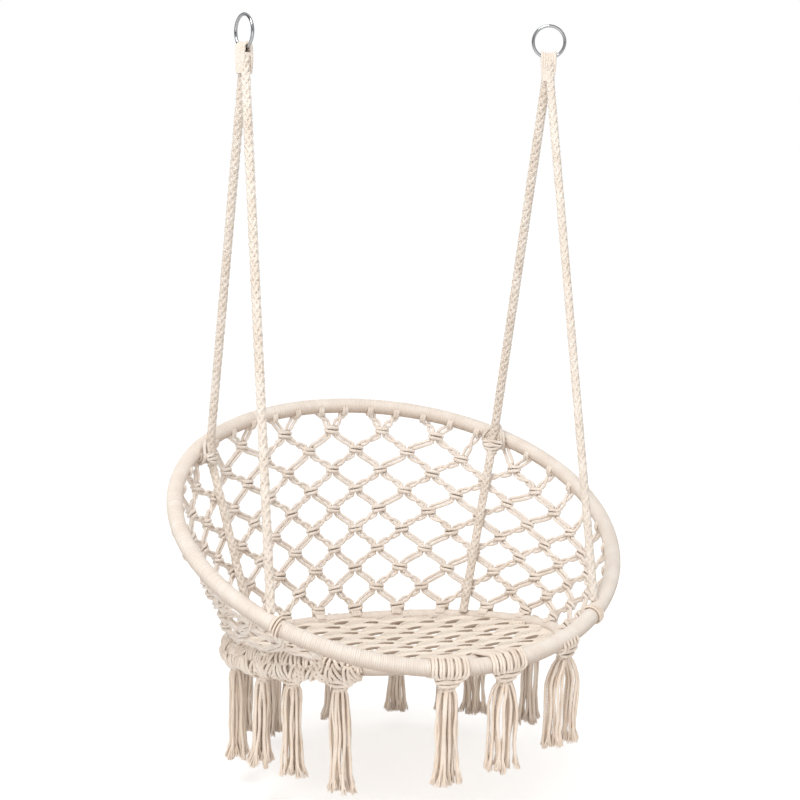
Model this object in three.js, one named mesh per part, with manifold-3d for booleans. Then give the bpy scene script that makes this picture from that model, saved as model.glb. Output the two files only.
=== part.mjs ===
// A hanging hammock chair: two cord-wrapped steel hoops, a knotted net back, a knotted seat and tassels.
// Millimetres, +Z up. The front faces -Y and +X is to the right of someone who looks at the front.
// The origin lies midway between the tops of the two steel rings, on the line where hooks hold them.
import * as THREE from 'three';
import { mergeVertices } from 'three/addons/utils/BufferGeometryUtils.js';
import Module from 'manifold-3d';

const wasm = await Module();
wasm.setup();

// Fits
const FIT_GAP = 0.3; // between pieces that touch
const PIVOT_GAP = 0.6; // between pieces that turn on each other

// Steel rings
const RING_RADIUS = 27.5; // to the centre of the wire
const RING_WIRE = 2.75;
const RING_SPREAD = 554.8; // between the two rings
const RING_TURNS = { left: 77, right: 26 }; // degrees from facing the front, as each ring hangs
const SWING_LIMIT = 20; // degrees to the front and to the back

// Wrapped rope ends on the rings
const HANGER_WIDTH = 19; // along the wire
const HANGER_DEPTH = 23;
const HANGER_LENGTH = 38; // from the wire down to where the ropes part
const SHANK_COVER = 2.4; // thickness of the cord wound round the two ropes

// Ropes
const ROPE_RADIUS = 8;
const LASHING_RADIUS = 2.4;
const LASHING_TURNS = 2;
const LASHING_AIR = 0.7; // between two turns
const LASHING_SIDE = 4.6; // degrees along the hoop from a rope to its lashing
// Degrees from the large hoop's front to where each rope meets it, and from the seat hoop's front to
// where each rear rope ends
const FRONT_ROPE_ANGLES = { left: 52.2, right: 43.8 };
const REAR_ROPE_ANGLES = { left: 131, right: 129 };
const SEAT_ROPE_ANGLES = { left: 130, right: 131.5 };
const ROPE_BITE_SHARE = 0.8; // of the wound hoop's radius: how far up and in a front rope ends

// Large hoop, which carries the back
const BACK_HOOP_RADIUS = 387.5; // to the centre of the tube
const BACK_TUBE_RADIUS = 11;
const BACK_HOOP_TILT = 24.3; // degrees, with the rear raised
const BACK_HOOP_SPRING = 6.5; // how far the ropes bend its sides up and its front and rear down
const BACK_HOOP_DROP = 859.7; // from the origin to the middle of the hoop
const BACK_HOOP_SETBACK = 1.4; // its balance point hangs below the rings

// Seat hoop
const SEAT_HOOP_RADIUS = 285.8;
const SEAT_TUBE_RADIUS = 9;
const SEAT_HOOP_TILT = -7.3;
const SEAT_SETBACK = 47.5; // from the large hoop's front to the seat hoop's front
const SEAT_DROP = 7.7;

// Cord wrapping on both hoops
const WRAP_THICKNESS = 3.8;
const SEAM_GAP = 0.6; // where two stretches of wrapping meet

// Net back
const NET_REAR_ROW = 38; // between two rows of knots, at the rear
const NET_SIDE_ROW = 31; // and at the sides, where the net is stretched
const NET_COLUMN = 14.8; // degrees between two knots of a row, at the rear
const NET_COLUMN_GROWTH = 0.2; // degrees more, with each half column to a side
const NET_TURN = -1.1; // degrees that the pattern is turned off the middle at the large hoop
const NET_LEAN = 3.5; // degrees that it leans further at the seat hoop
const NET_COLUMNS_EACH_WAY = 17; // half columns
const NET_RIM_ROW = 20.5; // from the seat hoop's centre to the lowest knots
const NET_TOP_MARGIN = 33; // least distance from a knot to the large hoop's centre
const NET_STRAND_WIDTH = 11;
const NET_KNOT_RADIUS = 9.5;
const NET_THICKNESS = 6.4;
const NARROWEST_CORNER_SHARE = 0.45; // keeps a knot's narrow corners short

// Seat
const SEAT_THICKNESS = 7;
const SEAT_SAG = 10; // at the middle
const SEAT_CELL_WIDTH = 83;
const SEAT_CELL_DEPTH = 64;
const SEAT_CELL_TURN = 9.5; // degrees
const SEAT_CELL_MIDDLE = [28, -7]; // the middle of one opening, from the middle of the seat
const SEAT_HOLE_WIDTH = 30;
const SEAT_HOLE_DEPTH = 21;
const SEAT_BORDER = 14; // unbroken cord round the rim

// Tassels
const TASSEL_KNOT_RADIUS = 12;
const TASSEL_DROP = 30; // from the hoop's centre to the knot's centre
const TASSEL_LENGTH = 152; // below the knot's centre
const TASSEL_CORDS = 8;
const TASSEL_CORD_RADIUS = 2.7;
const TASSEL_FLARE_RADIUS = 17; // at the cut ends
const TASSEL_WAIST_RADIUS = 9;
const TASSEL_ROOT_SHARE = 0.6; // of the knot's radius: where the cords leave it
const TASSEL_WAIST_SHARE = 1 / 3; // of the length: how far down the waist is
const GATHER_COVER = 4.5; // thickness of the cords that pass under the hoop
const GATHER_TOP = 6.5; // below the hoop's centre
const GATHER_NECK_RADIUS = 10;
const TIE_WIDTH = 30; // of the cords that hold the front of the seat hoop
// Angles from the front, with each tassel's length as a share of the common length
const SEAT_TASSEL_SHARES = [
  [-59, 1.02], [-74, 0.96], [-100, 1.02], [-127, 0.91], [-150, 1.08], [-177, 1.07],
  [159, 1.02], [140, 1.03], [127.5, 1.05], [99, 1.05], [-41, 1.15],
];
const FRONT_TASSEL_SHARES = [[-7, 1.05, 'tied'], [7.8, 0.95, 'tied'], [27, 0.99]];

// Facets
const HOOP_SIDES = 8;
const BACK_HOOP_STEPS = 48;
const SEAT_HOOP_STEPS = 36;
const RING_STEPS = 24;
const ROPE_SIDES = 8;
const SHANK_SIDES = 12;
const BORE_STEPS = 4;
const LASHING_SIDES = 5;
const LASHING_STEPS = 14; // in one turn
const TASSEL_CORD_SIDES = 3;

const COTTON = { color: 0xe9dcc9, roughness: 0.9, metalness: 0 };
const COTTON_CORE = { color: 0xd9c6ac, roughness: 0.9, metalness: 0 };
const STEEL = { color: 0xb9bbbd, roughness: 0.28, metalness: 1 };
const TUBE_STEEL = { color: 0x8d8f92, roughness: 0.45, metalness: 1 };

const rad = THREE.MathUtils.degToRad;
const UP = new THREE.Vector3(0, 0, 1);
const chair = new THREE.Group();

const backOuter = BACK_TUBE_RADIUS + FIT_GAP + WRAP_THICKNESS;
const seatOuter = SEAT_TUBE_RADIUS + FIT_GAP + WRAP_THICKNESS;

// A mesh from a geometry, with its own material
function part(name, geometry, finish, parent = chair) {
  geometry.deleteAttribute('uv');
  geometry.deleteAttribute('normal');
  const mesh = new THREE.Mesh(geometry, new THREE.MeshStandardMaterial(finish));
  mesh.name = name;
  parent.add(mesh);
  return mesh;
}

// Solids for cuts and joins
function toSolid(geometry) {
  const bare = geometry.clone();
  bare.deleteAttribute('normal');
  bare.deleteAttribute('uv');
  const merged = mergeVertices(bare, 1e-3);
  const mesh = new wasm.Mesh({
    numProp: 3,
    vertProperties: new Float32Array(merged.attributes.position.array),
    triVerts: new Uint32Array(merged.index.array),
  });
  return new wasm.Manifold(mesh);
}

function toGeometry(solid) {
  const mesh = solid.getMesh();
  const geometry = new THREE.BufferGeometry();
  geometry.setAttribute('position', new THREE.BufferAttribute(new Float32Array(mesh.vertProperties), 3));
  geometry.setIndex(new THREE.BufferAttribute(new Uint32Array(mesh.triVerts), 1));
  return geometry;
}

// A path through given points, with one section at each point. The points before and after it only
// turn its end faces.
class PointPath extends THREE.Curve {
  constructor(points, before = points[0], after = points[points.length - 1]) {
    super();
    this.points = points;
    this.line = [before, ...points, after];
  }

  getPoint(t, target = new THREE.Vector3()) {
    const place = t * (this.points.length - 1);
    const low = Math.min(Math.floor(place + 1e-9), this.points.length - 2);
    return target.lerpVectors(this.points[low], this.points[low + 1], place - low);
  }

  getPointAt(t, target) {
    return this.getPoint(t, target);
  }

  getTangentAt(t, target = new THREE.Vector3()) {
    const near = Math.round(t * (this.points.length - 1));
    return target.subVectors(this.line[near + 2], this.line[near]).normalize();
  }
}

function circleShape(radius, sides, hole = 0) {
  const turn = (k) => (2 * Math.PI * k) / sides;
  const corner = (r, k) => new THREE.Vector2(r * Math.cos(turn(k)), r * Math.sin(turn(k)));
  const ring = (r) => Array.from({ length: sides }, (_, k) => corner(r, k));
  const shape = new THREE.Shape(ring(radius));
  if (hole > 0) shape.holes.push(new THREE.Path(ring(hole)));
  return shape;
}

function sweep(shape, points, before, after) {
  const extrudePath = new PointPath(points, before, after);
  return new THREE.ExtrudeGeometry(shape, { steps: points.length - 1, extrudePath, bevelEnabled: false });
}

// A closed round ring about Z, with its seam at the front
function torus(radius, wire, steps, sides) {
  const profile = [];
  for (let k = 0; k <= sides; k += 1) {
    const turn = (2 * Math.PI * (k % sides)) / sides;
    profile.push(new THREE.Vector2(radius + wire * Math.cos(turn), wire * Math.sin(turn)));
  }
  return new THREE.LatheGeometry(profile, steps).rotateX(Math.PI / 2);
}

// Hoops: a point at an angle from the front, in the hoop's own frame
function hoopPoint(hoop, degrees) {
  const a = rad(degrees);
  const lift = -hoop.spring * Math.cos(2 * a);
  return new THREE.Vector3(hoop.radius * Math.sin(a), -hoop.radius * Math.cos(a), lift);
}

function springGeometry(hoop, geometry) {
  const place = geometry.attributes.position;
  for (let k = 0; k < place.count; k += 1) {
    const angle = Math.atan2(place.getX(k), -place.getY(k));
    place.setZ(k, place.getZ(k) - hoop.spring * Math.cos(2 * angle));
  }
  return geometry;
}

function makeHoop(sizes) {
  const frame = new THREE.Group();
  frame.position.copy(sizes.middle);
  frame.rotation.x = rad(sizes.tilt);
  frame.updateMatrix();
  chair.add(frame);
  return { ...sizes, frame };
}

function onHoop(hoop, degrees) {
  return hoopPoint(hoop, degrees).applyMatrix4(hoop.frame.matrix);
}

function hoopCutter(hoop, gap) {
  const grown = torus(hoop.radius, hoop.outer + gap, hoop.steps, HOOP_SIDES);
  return toSolid(springGeometry(hoop, grown).applyMatrix4(hoop.frame.matrix));
}

const backHoop = makeHoop({
  name: 'back_hoop',
  radius: BACK_HOOP_RADIUS,
  tube: BACK_TUBE_RADIUS,
  outer: backOuter,
  tilt: BACK_HOOP_TILT,
  spring: BACK_HOOP_SPRING,
  steps: BACK_HOOP_STEPS,
  middle: new THREE.Vector3(0, BACK_HOOP_SETBACK, -BACK_HOOP_DROP),
});

const backFront = onHoop(backHoop, 0);
const seatReach = SEAT_HOOP_RADIUS * Math.cos(rad(SEAT_HOOP_TILT));
const seatRise = SEAT_HOOP_RADIUS * Math.sin(rad(SEAT_HOOP_TILT));
const seatHoop = makeHoop({
  name: 'seat_hoop',
  radius: SEAT_HOOP_RADIUS,
  tube: SEAT_TUBE_RADIUS,
  outer: seatOuter,
  tilt: SEAT_HOOP_TILT,
  spring: 0,
  steps: SEAT_HOOP_STEPS,
  middle: new THREE.Vector3(0, backFront.y + SEAT_SETBACK + seatReach, backFront.z - SEAT_DROP + seatRise),
});

// One stretch of wrapping is a sleeve round the tube, open at its two ends
function wrapStretch(hoop, from, to) {
  const trim = THREE.MathUtils.radToDeg(SEAM_GAP / 2 / hoop.radius);
  const count = Math.round(((to - from) / 360) * hoop.steps);
  const at = (share) => hoopPoint(hoop, from + trim + (to - from - 2 * trim) * share);
  const points = Array.from({ length: count + 1 }, (_, k) => at(k / count));
  const bore = hoop.tube + 2 * FIT_GAP;
  const sleeve = circleShape(hoop.outer, HOOP_SIDES, bore);
  return sweep(sleeve, points, at(-1 / count), at(1 + 1 / count));
}

function addHoop(hoop, stretches) {
  const tube = torus(hoop.radius, hoop.tube, hoop.steps, HOOP_SIDES);
  part(`${hoop.name}_tube`, springGeometry(hoop, tube), TUBE_STEEL, hoop.frame);
  for (const [side, from, to] of stretches) {
    part(`${hoop.name}_wrap_${side}`, wrapStretch(hoop, from, to), COTTON, hoop.frame);
  }
}

addHoop(backHoop, [['front', -45, 45], ['right', 45, 135], ['rear', 135, 225], ['left', 225, 315]]);
addHoop(seatHoop, [['front', -60, 60], ['right', 60, 180], ['left', 180, 300]]);

// Steel rings, each hanging from the top of its bore
const ringDrop = RING_RADIUS - RING_WIRE;
const pivotDrop = ringDrop + RING_RADIUS;

function ringGeometry(side, wire) {
  return torus(RING_RADIUS, wire, RING_STEPS, HOOP_SIDES)
    .rotateX(Math.PI / 2)
    .rotateZ(-rad(RING_TURNS[side]));
}

function ringPlace(side) {
  return new THREE.Vector3(((side === 'left' ? -1 : 1) * RING_SPREAD) / 2, 0, -ringDrop);
}

// The bore of a hanger widens to both ends, to clear the curved wire when the chair swings
function hangerBore() {
  const half = HANGER_WIDTH / 2 + FIT_GAP;
  const aside = RING_RADIUS * Math.sin(rad(SWING_LIMIT));
  const height = RING_RADIUS * Math.cos(rad(SWING_LIMIT));
  const inner = RING_RADIUS - RING_WIRE - PIVOT_GAP;
  const outer = RING_RADIUS + RING_WIRE + PIVOT_GAP;
  const roundness = Math.cos(Math.PI / HOOP_SIDES);
  const bore = new THREE.CylinderGeometry(1, 1, 2 * half, HOOP_SIDES, BORE_STEPS)
    .rotateY(Math.PI / HOOP_SIDES);
  const place = bore.attributes.position;
  for (let k = 0; k < place.count; k += 1) {
    const along = Math.abs(place.getY(k));
    const upper = height - Math.sqrt(inner * inner - (along + aside) * (along + aside));
    const arch = Math.sqrt(RING_RADIUS * RING_RADIUS - Math.min(along, aside) ** 2);
    const beside = outer - RING_RADIUS + (RING_RADIUS - arch) * Math.sin(rad(SWING_LIMIT));
    place.setX(k, (place.getX(k) / roundness) * beside);
    place.setZ(k, (place.getZ(k) / roundness) * (place.getZ(k) > 0 ? upper : outer - arch));
  }
  return bore;
}

// A hanger is the doubled rope end that turns on a ring's wire, wound together below it
function hangerGeometry(side) {
  const half = HANGER_DEPTH / 2;
  const profile = new THREE.Shape();
  profile.moveTo(-half, -half);
  profile.lineTo(half, -half);
  profile.lineTo(half, 0);
  profile.absarc(0, 0, half, 0, Math.PI, false);
  const options = { depth: HANGER_WIDTH, bevelEnabled: false, curveSegments: HOOP_SIDES };
  const head = new THREE.ExtrudeGeometry(profile, options)
    .translate(0, 0, -HANGER_WIDTH / 2)
    .rotateX(Math.PI / 2);
  const drilled = toSolid(head).subtract(toSolid(hangerBore()));
  const turned = toGeometry(drilled).rotateZ(Math.PI / 2 - rad(RING_TURNS[side]));
  const top = HANGER_DEPTH / 2 - FIT_GAP;
  const wide = 2 * ROPE_RADIUS + FIT_GAP + SHANK_COVER;
  const shank = new THREE.CylinderGeometry(half, ROPE_RADIUS + SHANK_COVER, HANGER_LENGTH - top, SHANK_SIDES)
    .rotateX(Math.PI / 2)
    .translate(0, 0, -(HANGER_LENGTH + top) / 2);
  const place = shank.attributes.position;
  for (let k = 0; k < place.count; k += 1) {
    const low = place.getZ(k) < -(HANGER_LENGTH + top) / 2;
    if (low) place.setY(k, (place.getY(k) * wide) / (ROPE_RADIUS + SHANK_COVER));
  }
  return toGeometry(toSolid(turned).add(toSolid(shank)));
}

for (const side of ['left', 'right']) {
  part(`ring_${side}`, ringGeometry(side, RING_WIRE), STEEL).position.copy(ringPlace(side));
  const hanger = part(`hanger_${side}`, hangerGeometry(side), COTTON);
  hanger.position.copy(ringPlace(side)).add(new THREE.Vector3(0, 0, -RING_RADIUS));
}

// Directions at a point of a hoop: outward from its middle, and across its plane
function outwardAt(hoop, degrees) {
  const a = rad(degrees);
  return new THREE.Vector3(Math.sin(a), -Math.cos(a), 0).transformDirection(hoop.frame.matrix);
}

function acrossAt(hoop) {
  return UP.clone().transformDirection(hoop.frame.matrix);
}

// Ropes start under a hanger, side by side, and run down to the hoops
function ropeStart(sign, forward) {
  const foot = new THREE.Vector3((sign * RING_SPREAD) / 2, 0, -pivotDrop - HANGER_LENGTH - FIT_GAP);
  return foot.add(new THREE.Vector3(0, forward * (ROPE_RADIUS + FIT_GAP), 0));
}

function frontRopePoints(side, sign) {
  const angle = sign * FRONT_ROPE_ANGLES[side];
  const meet = onHoop(backHoop, angle)
    .addScaledVector(outwardAt(backHoop, angle), -backOuter * ROPE_BITE_SHARE)
    .addScaledVector(acrossAt(backHoop), backOuter * ROPE_BITE_SHARE);
  return [ropeStart(sign, -1), meet];
}

function rearRopePoints(side, sign) {
  const start = ropeStart(sign, 1);
  const angle = sign * REAR_ROPE_ANGLES[side];
  const seatAngle = sign * SEAT_ROPE_ANGLES[side];
  const clear = backOuter + ROPE_RADIUS + PIVOT_GAP;
  const bend = onHoop(backHoop, angle).addScaledVector(outwardAt(backHoop, angle), -clear);
  const foot = onHoop(seatHoop, seatAngle)
    .addScaledVector(outwardAt(seatHoop, seatAngle), -seatOuter)
    .addScaledVector(acrossAt(seatHoop), seatOuter);
  const above = bend.clone().lerp(start, ROPE_RADIUS / bend.distanceTo(start));
  const below = bend.clone().lerp(foot, ROPE_RADIUS / bend.distanceTo(foot));
  const out = outwardAt(backHoop, angle);
  return [start, above.addScaledVector(out, -FIT_GAP), bend.addScaledVector(out, -FIT_GAP),
    below.addScaledVector(out, -FIT_GAP), foot];
}

const backCutter = hoopCutter(backHoop, FIT_GAP);
const seatCutter = hoopCutter(seatHoop, FIT_GAP);
const sides = [['left', -1], ['right', 1]];

for (const [side, sign] of sides) {
  const routes = { front: frontRopePoints(side, sign), rear: rearRopePoints(side, sign) };
  for (const [end, points] of Object.entries(routes)) {
    const above = points[1].clone().setZ(2 * points[0].z - points[1].z);
    const rope = toSolid(sweep(circleShape(ROPE_RADIUS, ROPE_SIDES), points, above));
    part(`rope_${end}_${side}`, toGeometry(rope.subtract(backCutter).subtract(seatCutter)), COTTON);
  }
}

// A lashing is a thin cord wound round the large hoop beside a rope
const lashingPitch = 2 * LASHING_RADIUS + LASHING_AIR;
const lashingReach = (backOuter + PIVOT_GAP + LASHING_RADIUS) / Math.cos(Math.PI / LASHING_STEPS);

function lashingPoints(angle) {
  const degreesPerTurn = THREE.MathUtils.radToDeg(lashingPitch / BACK_HOOP_RADIUS);
  const points = [];
  const count = LASHING_TURNS * LASHING_STEPS;
  for (let k = 0; k <= count; k += 1) {
    const turns = k / LASHING_STEPS;
    const at = angle + (turns - LASHING_TURNS / 2) * degreesPerTurn;
    const phase = 2 * Math.PI * turns;
    points.push(onHoop(backHoop, at)
      .addScaledVector(outwardAt(backHoop, at), lashingReach * Math.cos(phase))
      .addScaledVector(acrossAt(backHoop), lashingReach * Math.sin(phase)));
  }
  return points;
}

function leastSelfGap(points, perTurn, radius) {
  let least = Infinity;
  for (let a = 0; a < points.length; a += 1) {
    for (let b = a + Math.round(perTurn / 2); b < points.length; b += 1) {
      least = Math.min(least, points[a].distanceTo(points[b]) - 2 * radius);
    }
  }
  return least;
}

const lashings = [];
for (const [side, sign] of sides) {
  const places = {
    front: FRONT_ROPE_ANGLES[side] - LASHING_SIDE,
    rear: REAR_ROPE_ANGLES[side] + LASHING_SIDE,
  };
  for (const [end, angle] of Object.entries(places)) {
    const points = lashingPoints(sign * angle);
    const geometry = sweep(circleShape(LASHING_RADIUS, LASHING_SIDES), points);
    console.log(`lashing ${end} ${side}: least gap to itself`,
      leastSelfGap(points, LASHING_STEPS, LASHING_RADIUS).toFixed(2), 'mm');
    part(`lashing_${end}_${side}`, geometry, COTTON_CORE);
    lashings.push(toSolid(sweep(circleShape(LASHING_RADIUS + FIT_GAP, LASHING_SIDES), points)));
  }
}

// A net is a solid made from knots and the strands between them: each knot is a small flat polygon
// whose corners lie between its strands, and each strand joins two sides of two knots.
function netGeometry(knots, strands, width, thickness, knotRadius) {
  const ends = knots.map(() => []);
  for (const [a, b] of strands) {
    ends[a].push({ other: b });
    ends[b].push({ other: a });
  }
  const corners = knots.map((knot, index) => {
    const list = ends[index];
    for (const end of list) {
      const toward = knots[end.other].point.clone().sub(knot.point);
      end.angle = Math.atan2(toward.dot(knot.v), toward.dot(knot.u));
    }
    list.sort((p, q) => p.angle - q.angle);
    if (list.length === 1) {
      return [Math.PI / 2, -Math.PI / 2].map((side) => cornerAt(knot, list[0].angle + side, width / 2));
    }
    return list.map((end, k) => {
      const next = list[(k + 1) % list.length];
      let span = next.angle - end.angle;
      if (span <= 0) span += 2 * Math.PI;
      const least = width / 2 / Math.max(Math.sin(span / 2), NARROWEST_CORNER_SHARE);
      const reach = list.length === 2 ? least : Math.max(least, knotRadius);
      return cornerAt(knot, end.angle + span / 2, reach);
    });
  });
  const points = [];
  const first = [];
  knots.forEach((knot, index) => {
    first.push(points.length);
    for (const corner of corners[index]) {
      points.push(corner.clone().addScaledVector(knot.n, thickness / 2));
      points.push(corner.clone().addScaledVector(knot.n, -thickness / 2));
    }
  });
  const faces = [];
  const quad = (a, b, c, d) => faces.push(a, b, c, a, c, d);
  const top = (knot, k) => first[knot] + 2 * (k % corners[knot].length);
  const low = (knot, k) => top(knot, k) + 1;
  knots.forEach((knot, index) => {
    const count = ends[index].length;
    for (let k = 1; k < count - 1; k += 1) {
      faces.push(top(index, 0), top(index, k), top(index, k + 1));
      faces.push(low(index, 0), low(index, k + 1), low(index, k));
    }
    if (count === 1) quad(top(index, 0), low(index, 0), low(index, 1), top(index, 1));
  });
  for (const [a, b] of strands) {
    const ka = ends[a].findIndex((end) => end.other === b);
    const kb = ends[b].findIndex((end) => end.other === a);
    const leftA = ka;
    const rightA = ends[a].length === 1 ? 1 : (ka + ends[a].length - 1) % ends[a].length;
    const leftB = kb;
    const rightB = ends[b].length === 1 ? 1 : (kb + ends[b].length - 1) % ends[b].length;
    quad(top(a, rightA), top(b, leftB), top(b, rightB), top(a, leftA));
    quad(low(a, leftA), low(b, rightB), low(b, leftB), low(a, rightA));
    quad(top(a, leftA), top(b, rightB), low(b, rightB), low(a, leftA));
    quad(top(b, leftB), top(a, rightA), low(a, rightA), low(b, leftB));
  }
  const geometry = new THREE.BufferGeometry();
  const places = points.flatMap((point) => point.toArray());
  geometry.setAttribute('position', new THREE.Float32BufferAttribute(places, 3));
  geometry.setIndex(faces);
  return geometry;
}

function cornerAt(knot, turn, reach) {
  return knot.point.clone()
    .addScaledVector(knot.u, reach * Math.cos(turn))
    .addScaledVector(knot.v, reach * Math.sin(turn));
}

// The net hangs on straight lines between points of the two hoops at one angle
function netHeight(degrees) {
  return onHoop(backHoop, degrees).distanceTo(onHoop(seatHoop, degrees));
}

function netPoint(degrees, height) {
  const low = onHoop(seatHoop, degrees);
  const high = onHoop(backHoop, degrees);
  return low.lerp(high, height / netHeight(degrees));
}

function netKnot(degrees, height) {
  const point = netPoint(degrees, height);
  const v = onHoop(backHoop, degrees).sub(onHoop(seatHoop, degrees)).normalize();
  const beside = netPoint(degrees + 1, height).sub(netPoint(degrees - 1, height));
  const n = beside.clone().cross(v).normalize();
  return { point, n, v, u: v.clone().cross(n) };
}

// The knots of a column lean to one side on their way down, most of all at the rear
function netColumn(c) {
  return 180 + NET_TURN + (c * (NET_COLUMN + NET_COLUMN_GROWTH * Math.abs(c))) / 2;
}

function netRowHeight(c, r) {
  const rear = Math.cos(rad(netColumn(c))) ** 2;
  return NET_RIM_ROW + r * (NET_SIDE_ROW + (NET_REAR_ROW - NET_SIDE_ROW) * rear);
}

function netAngle(c, height) {
  const column = netColumn(c);
  const depthShare = 1 - Math.min(1, height / netHeight(column));
  return column + NET_LEAN * depthShare * Math.cos(rad(column)) ** 2;
}

function buildNet() {
  const knots = [];
  const strands = [];
  const names = new Map();
  const add = (c, height) => knots.push(netKnot(netAngle(c, height), height)) - 1;
  const addTop = (c) => knots.push(netKnot(netColumn(c), netHeight(netColumn(c)))) - 1;
  for (let c = -NET_COLUMNS_EACH_WAY; c <= NET_COLUMNS_EACH_WAY; c += 1) {
    const top = netHeight(netColumn(c)) - NET_TOP_MARGIN;
    for (let r = 0; netRowHeight(c, r) <= top; r += 1) {
      if ((c + r) % 2 !== 0) names.set(`${c},${r}`, add(c, netRowHeight(c, r)));
    }
  }
  for (const [name, index] of names) {
    const [c, r] = name.split(',').map(Number);
    const joined = r > 0 || names.has(`${c - 1},1`) || names.has(`${c + 1},1`);
    if (!joined) continue;
    if (r === 0) strands.push([index, add(c, 0)]);
    for (const way of [-1, 1]) {
      const upper = names.get(`${c + way},${r + 1}`);
      const inside = Math.abs(c + way) <= NET_COLUMNS_EACH_WAY;
      if (upper !== undefined) strands.push([index, upper]);
      else if (inside) strands.push([index, addTop(c + way / 2)]);
    }
  }
  const net = netGeometry(knots, strands, NET_STRAND_WIDTH, NET_THICKNESS, NET_KNOT_RADIUS);
  console.log('net: knots', names.size, 'strands', strands.length);
  return net;
}

let net = toSolid(buildNet()).subtract(backCutter).subtract(seatCutter);
for (const lashing of lashings) net = net.subtract(lashing);
part('back_net', toGeometry(net), COTTON);

// The seat is a knotted sheet hung inside the seat hoop. It is made of diamonds, each with an opening
// in its middle, so that it can sag evenly.
function seatCells(limit) {
  const reach = Math.ceil((2 * limit) / Math.min(SEAT_CELL_WIDTH, SEAT_CELL_DEPTH)) + 1;
  const place = (x, y) => new THREE.Vector2(x, y)
    .rotateAround(new THREE.Vector2(), rad(SEAT_CELL_TURN))
    .add(new THREE.Vector2(...SEAT_CELL_MIDDLE));
  const cells = [];
  for (let row = -2 * reach; row <= 2 * reach; row += 1) {
    for (let column = -reach; column <= reach; column += 1) {
      const x = (column + (row % 2 === 0 ? 0 : 1 / 2)) * SEAT_CELL_WIDTH;
      const y = (row * SEAT_CELL_DEPTH) / 2;
      const diamond = (width, depth) => [place(x + width / 2, y), place(x, y + depth / 2),
        place(x - width / 2, y), place(x, y - depth / 2)];
      const corners = diamond(SEAT_CELL_WIDTH, SEAT_CELL_DEPTH);
      const tips = diamond(SEAT_HOLE_WIDTH, SEAT_HOLE_DEPTH);
      const open = tips.every((tip) => tip.length() < limit - SEAT_BORDER);
      if (place(x, y).length() < limit + SEAT_CELL_WIDTH) cells.push({ corners, tips, open });
    }
  }
  return cells;
}

function seatGeometry() {
  const edge = SEAT_HOOP_RADIUS - seatOuter - FIT_GAP;
  const cells = seatCells(edge);
  console.log('seat: openings', cells.filter((cell) => cell.open).length);
  const flat = [];
  const quad = (a, b, c, d) => flat.push([a, b, c], [a, c, d]);
  for (const { corners, tips, open } of cells) {
    const next = (list, k) => list[(k + 1) % list.length];
    if (open) corners.forEach((corner, k) => quad(corner, next(corners, k), next(tips, k), tips[k]));
    else quad(...corners);
  }
  const sheet = new THREE.BufferGeometry();
  const places = [];
  const half = SEAT_THICKNESS / 2;
  const sag = (point) => SEAT_SAG * (point.lengthSq() / edge ** 2 - 1);
  const put = (point, side) => places.push(point.x, point.y, sag(point) + side * half);
  const edges = new Map();
  const name = (point) => `${point.x.toFixed(2)} ${point.y.toFixed(2)}`;
  for (const corners of flat) {
    corners.forEach((corner) => put(corner, 1));
    [...corners].reverse().forEach((corner) => put(corner, -1));
    corners.forEach((corner, k) => {
      const next = corners[(k + 1) % corners.length];
      edges.set(`${name(corner)} ${name(next)}`, [corner, next]);
    });
  }
  for (const [a, b] of edges.values()) {
    if (edges.has(`${name(b)} ${name(a)}`)) continue;
    [[a, 1], [a, -1], [b, -1], [a, 1], [b, -1], [b, 1]].forEach(([point, side]) => put(point, side));
  }
  sheet.setAttribute('position', new THREE.Float32BufferAttribute(places, 3));
  const rim = new THREE.CylinderGeometry(edge, edge, 2 * (SEAT_SAG + SEAT_THICKNESS), SEAT_HOOP_STEPS)
    .rotateX(Math.PI / 2);
  return toGeometry(toSolid(sheet).intersect(toSolid(rim)));
}

part('seat_web', seatGeometry(), COTTON, seatHoop.frame);

// A tassel hangs in a cup under its hoop: a round knot at the pivot, with loose cords below
function tasselSolid(length, spin) {
  const knot = new THREE.SphereGeometry(TASSEL_KNOT_RADIUS, HOOP_SIDES, HOOP_SIDES / 2 + 1)
    .rotateX(Math.PI / 2);
  let solid = toSolid(knot);
  const inner = TASSEL_KNOT_RADIUS * TASSEL_ROOT_SHARE;
  for (let k = 0; k < TASSEL_CORDS; k += 1) {
    const turn = (2 * Math.PI * (k + spin)) / TASSEL_CORDS;
    const at = (r, depth) => new THREE.Vector3(r * Math.cos(turn), r * Math.sin(turn), -depth);
    const root = at(inner, inner * TASSEL_ROOT_SHARE);
    const waist = at(TASSEL_WAIST_RADIUS, length * TASSEL_WAIST_SHARE);
    const points = [root, waist, at(TASSEL_FLARE_RADIUS, length)];
    solid = solid.add(toSolid(sweep(circleShape(TASSEL_CORD_RADIUS, TASSEL_CORD_SIDES), points)));
  }
  return solid;
}

function coneSolid(hoop, middle) {
  const topRadius = hoop.outer + GATHER_COVER;
  const foot = TASSEL_DROP - TASSEL_KNOT_RADIUS / 2;
  const height = foot - GATHER_TOP;
  const cone = new THREE.CylinderGeometry(topRadius, GATHER_NECK_RADIUS, height, HOOP_SIDES)
    .rotateX(Math.PI / 2)
    .translate(middle.x, middle.y, middle.z - GATHER_TOP - height / 2);
  return toSolid(cone);
}

function socketSolid(middle) {
  const radius = (TASSEL_KNOT_RADIUS + PIVOT_GAP) / Math.cos(Math.PI / HOOP_SIDES);
  return toSolid(new THREE.SphereGeometry(radius, HOOP_SIDES, HOOP_SIDES / 2)
    .rotateX(Math.PI / 2)
    .translate(middle.x, middle.y, middle.z - TASSEL_DROP));
}

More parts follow.
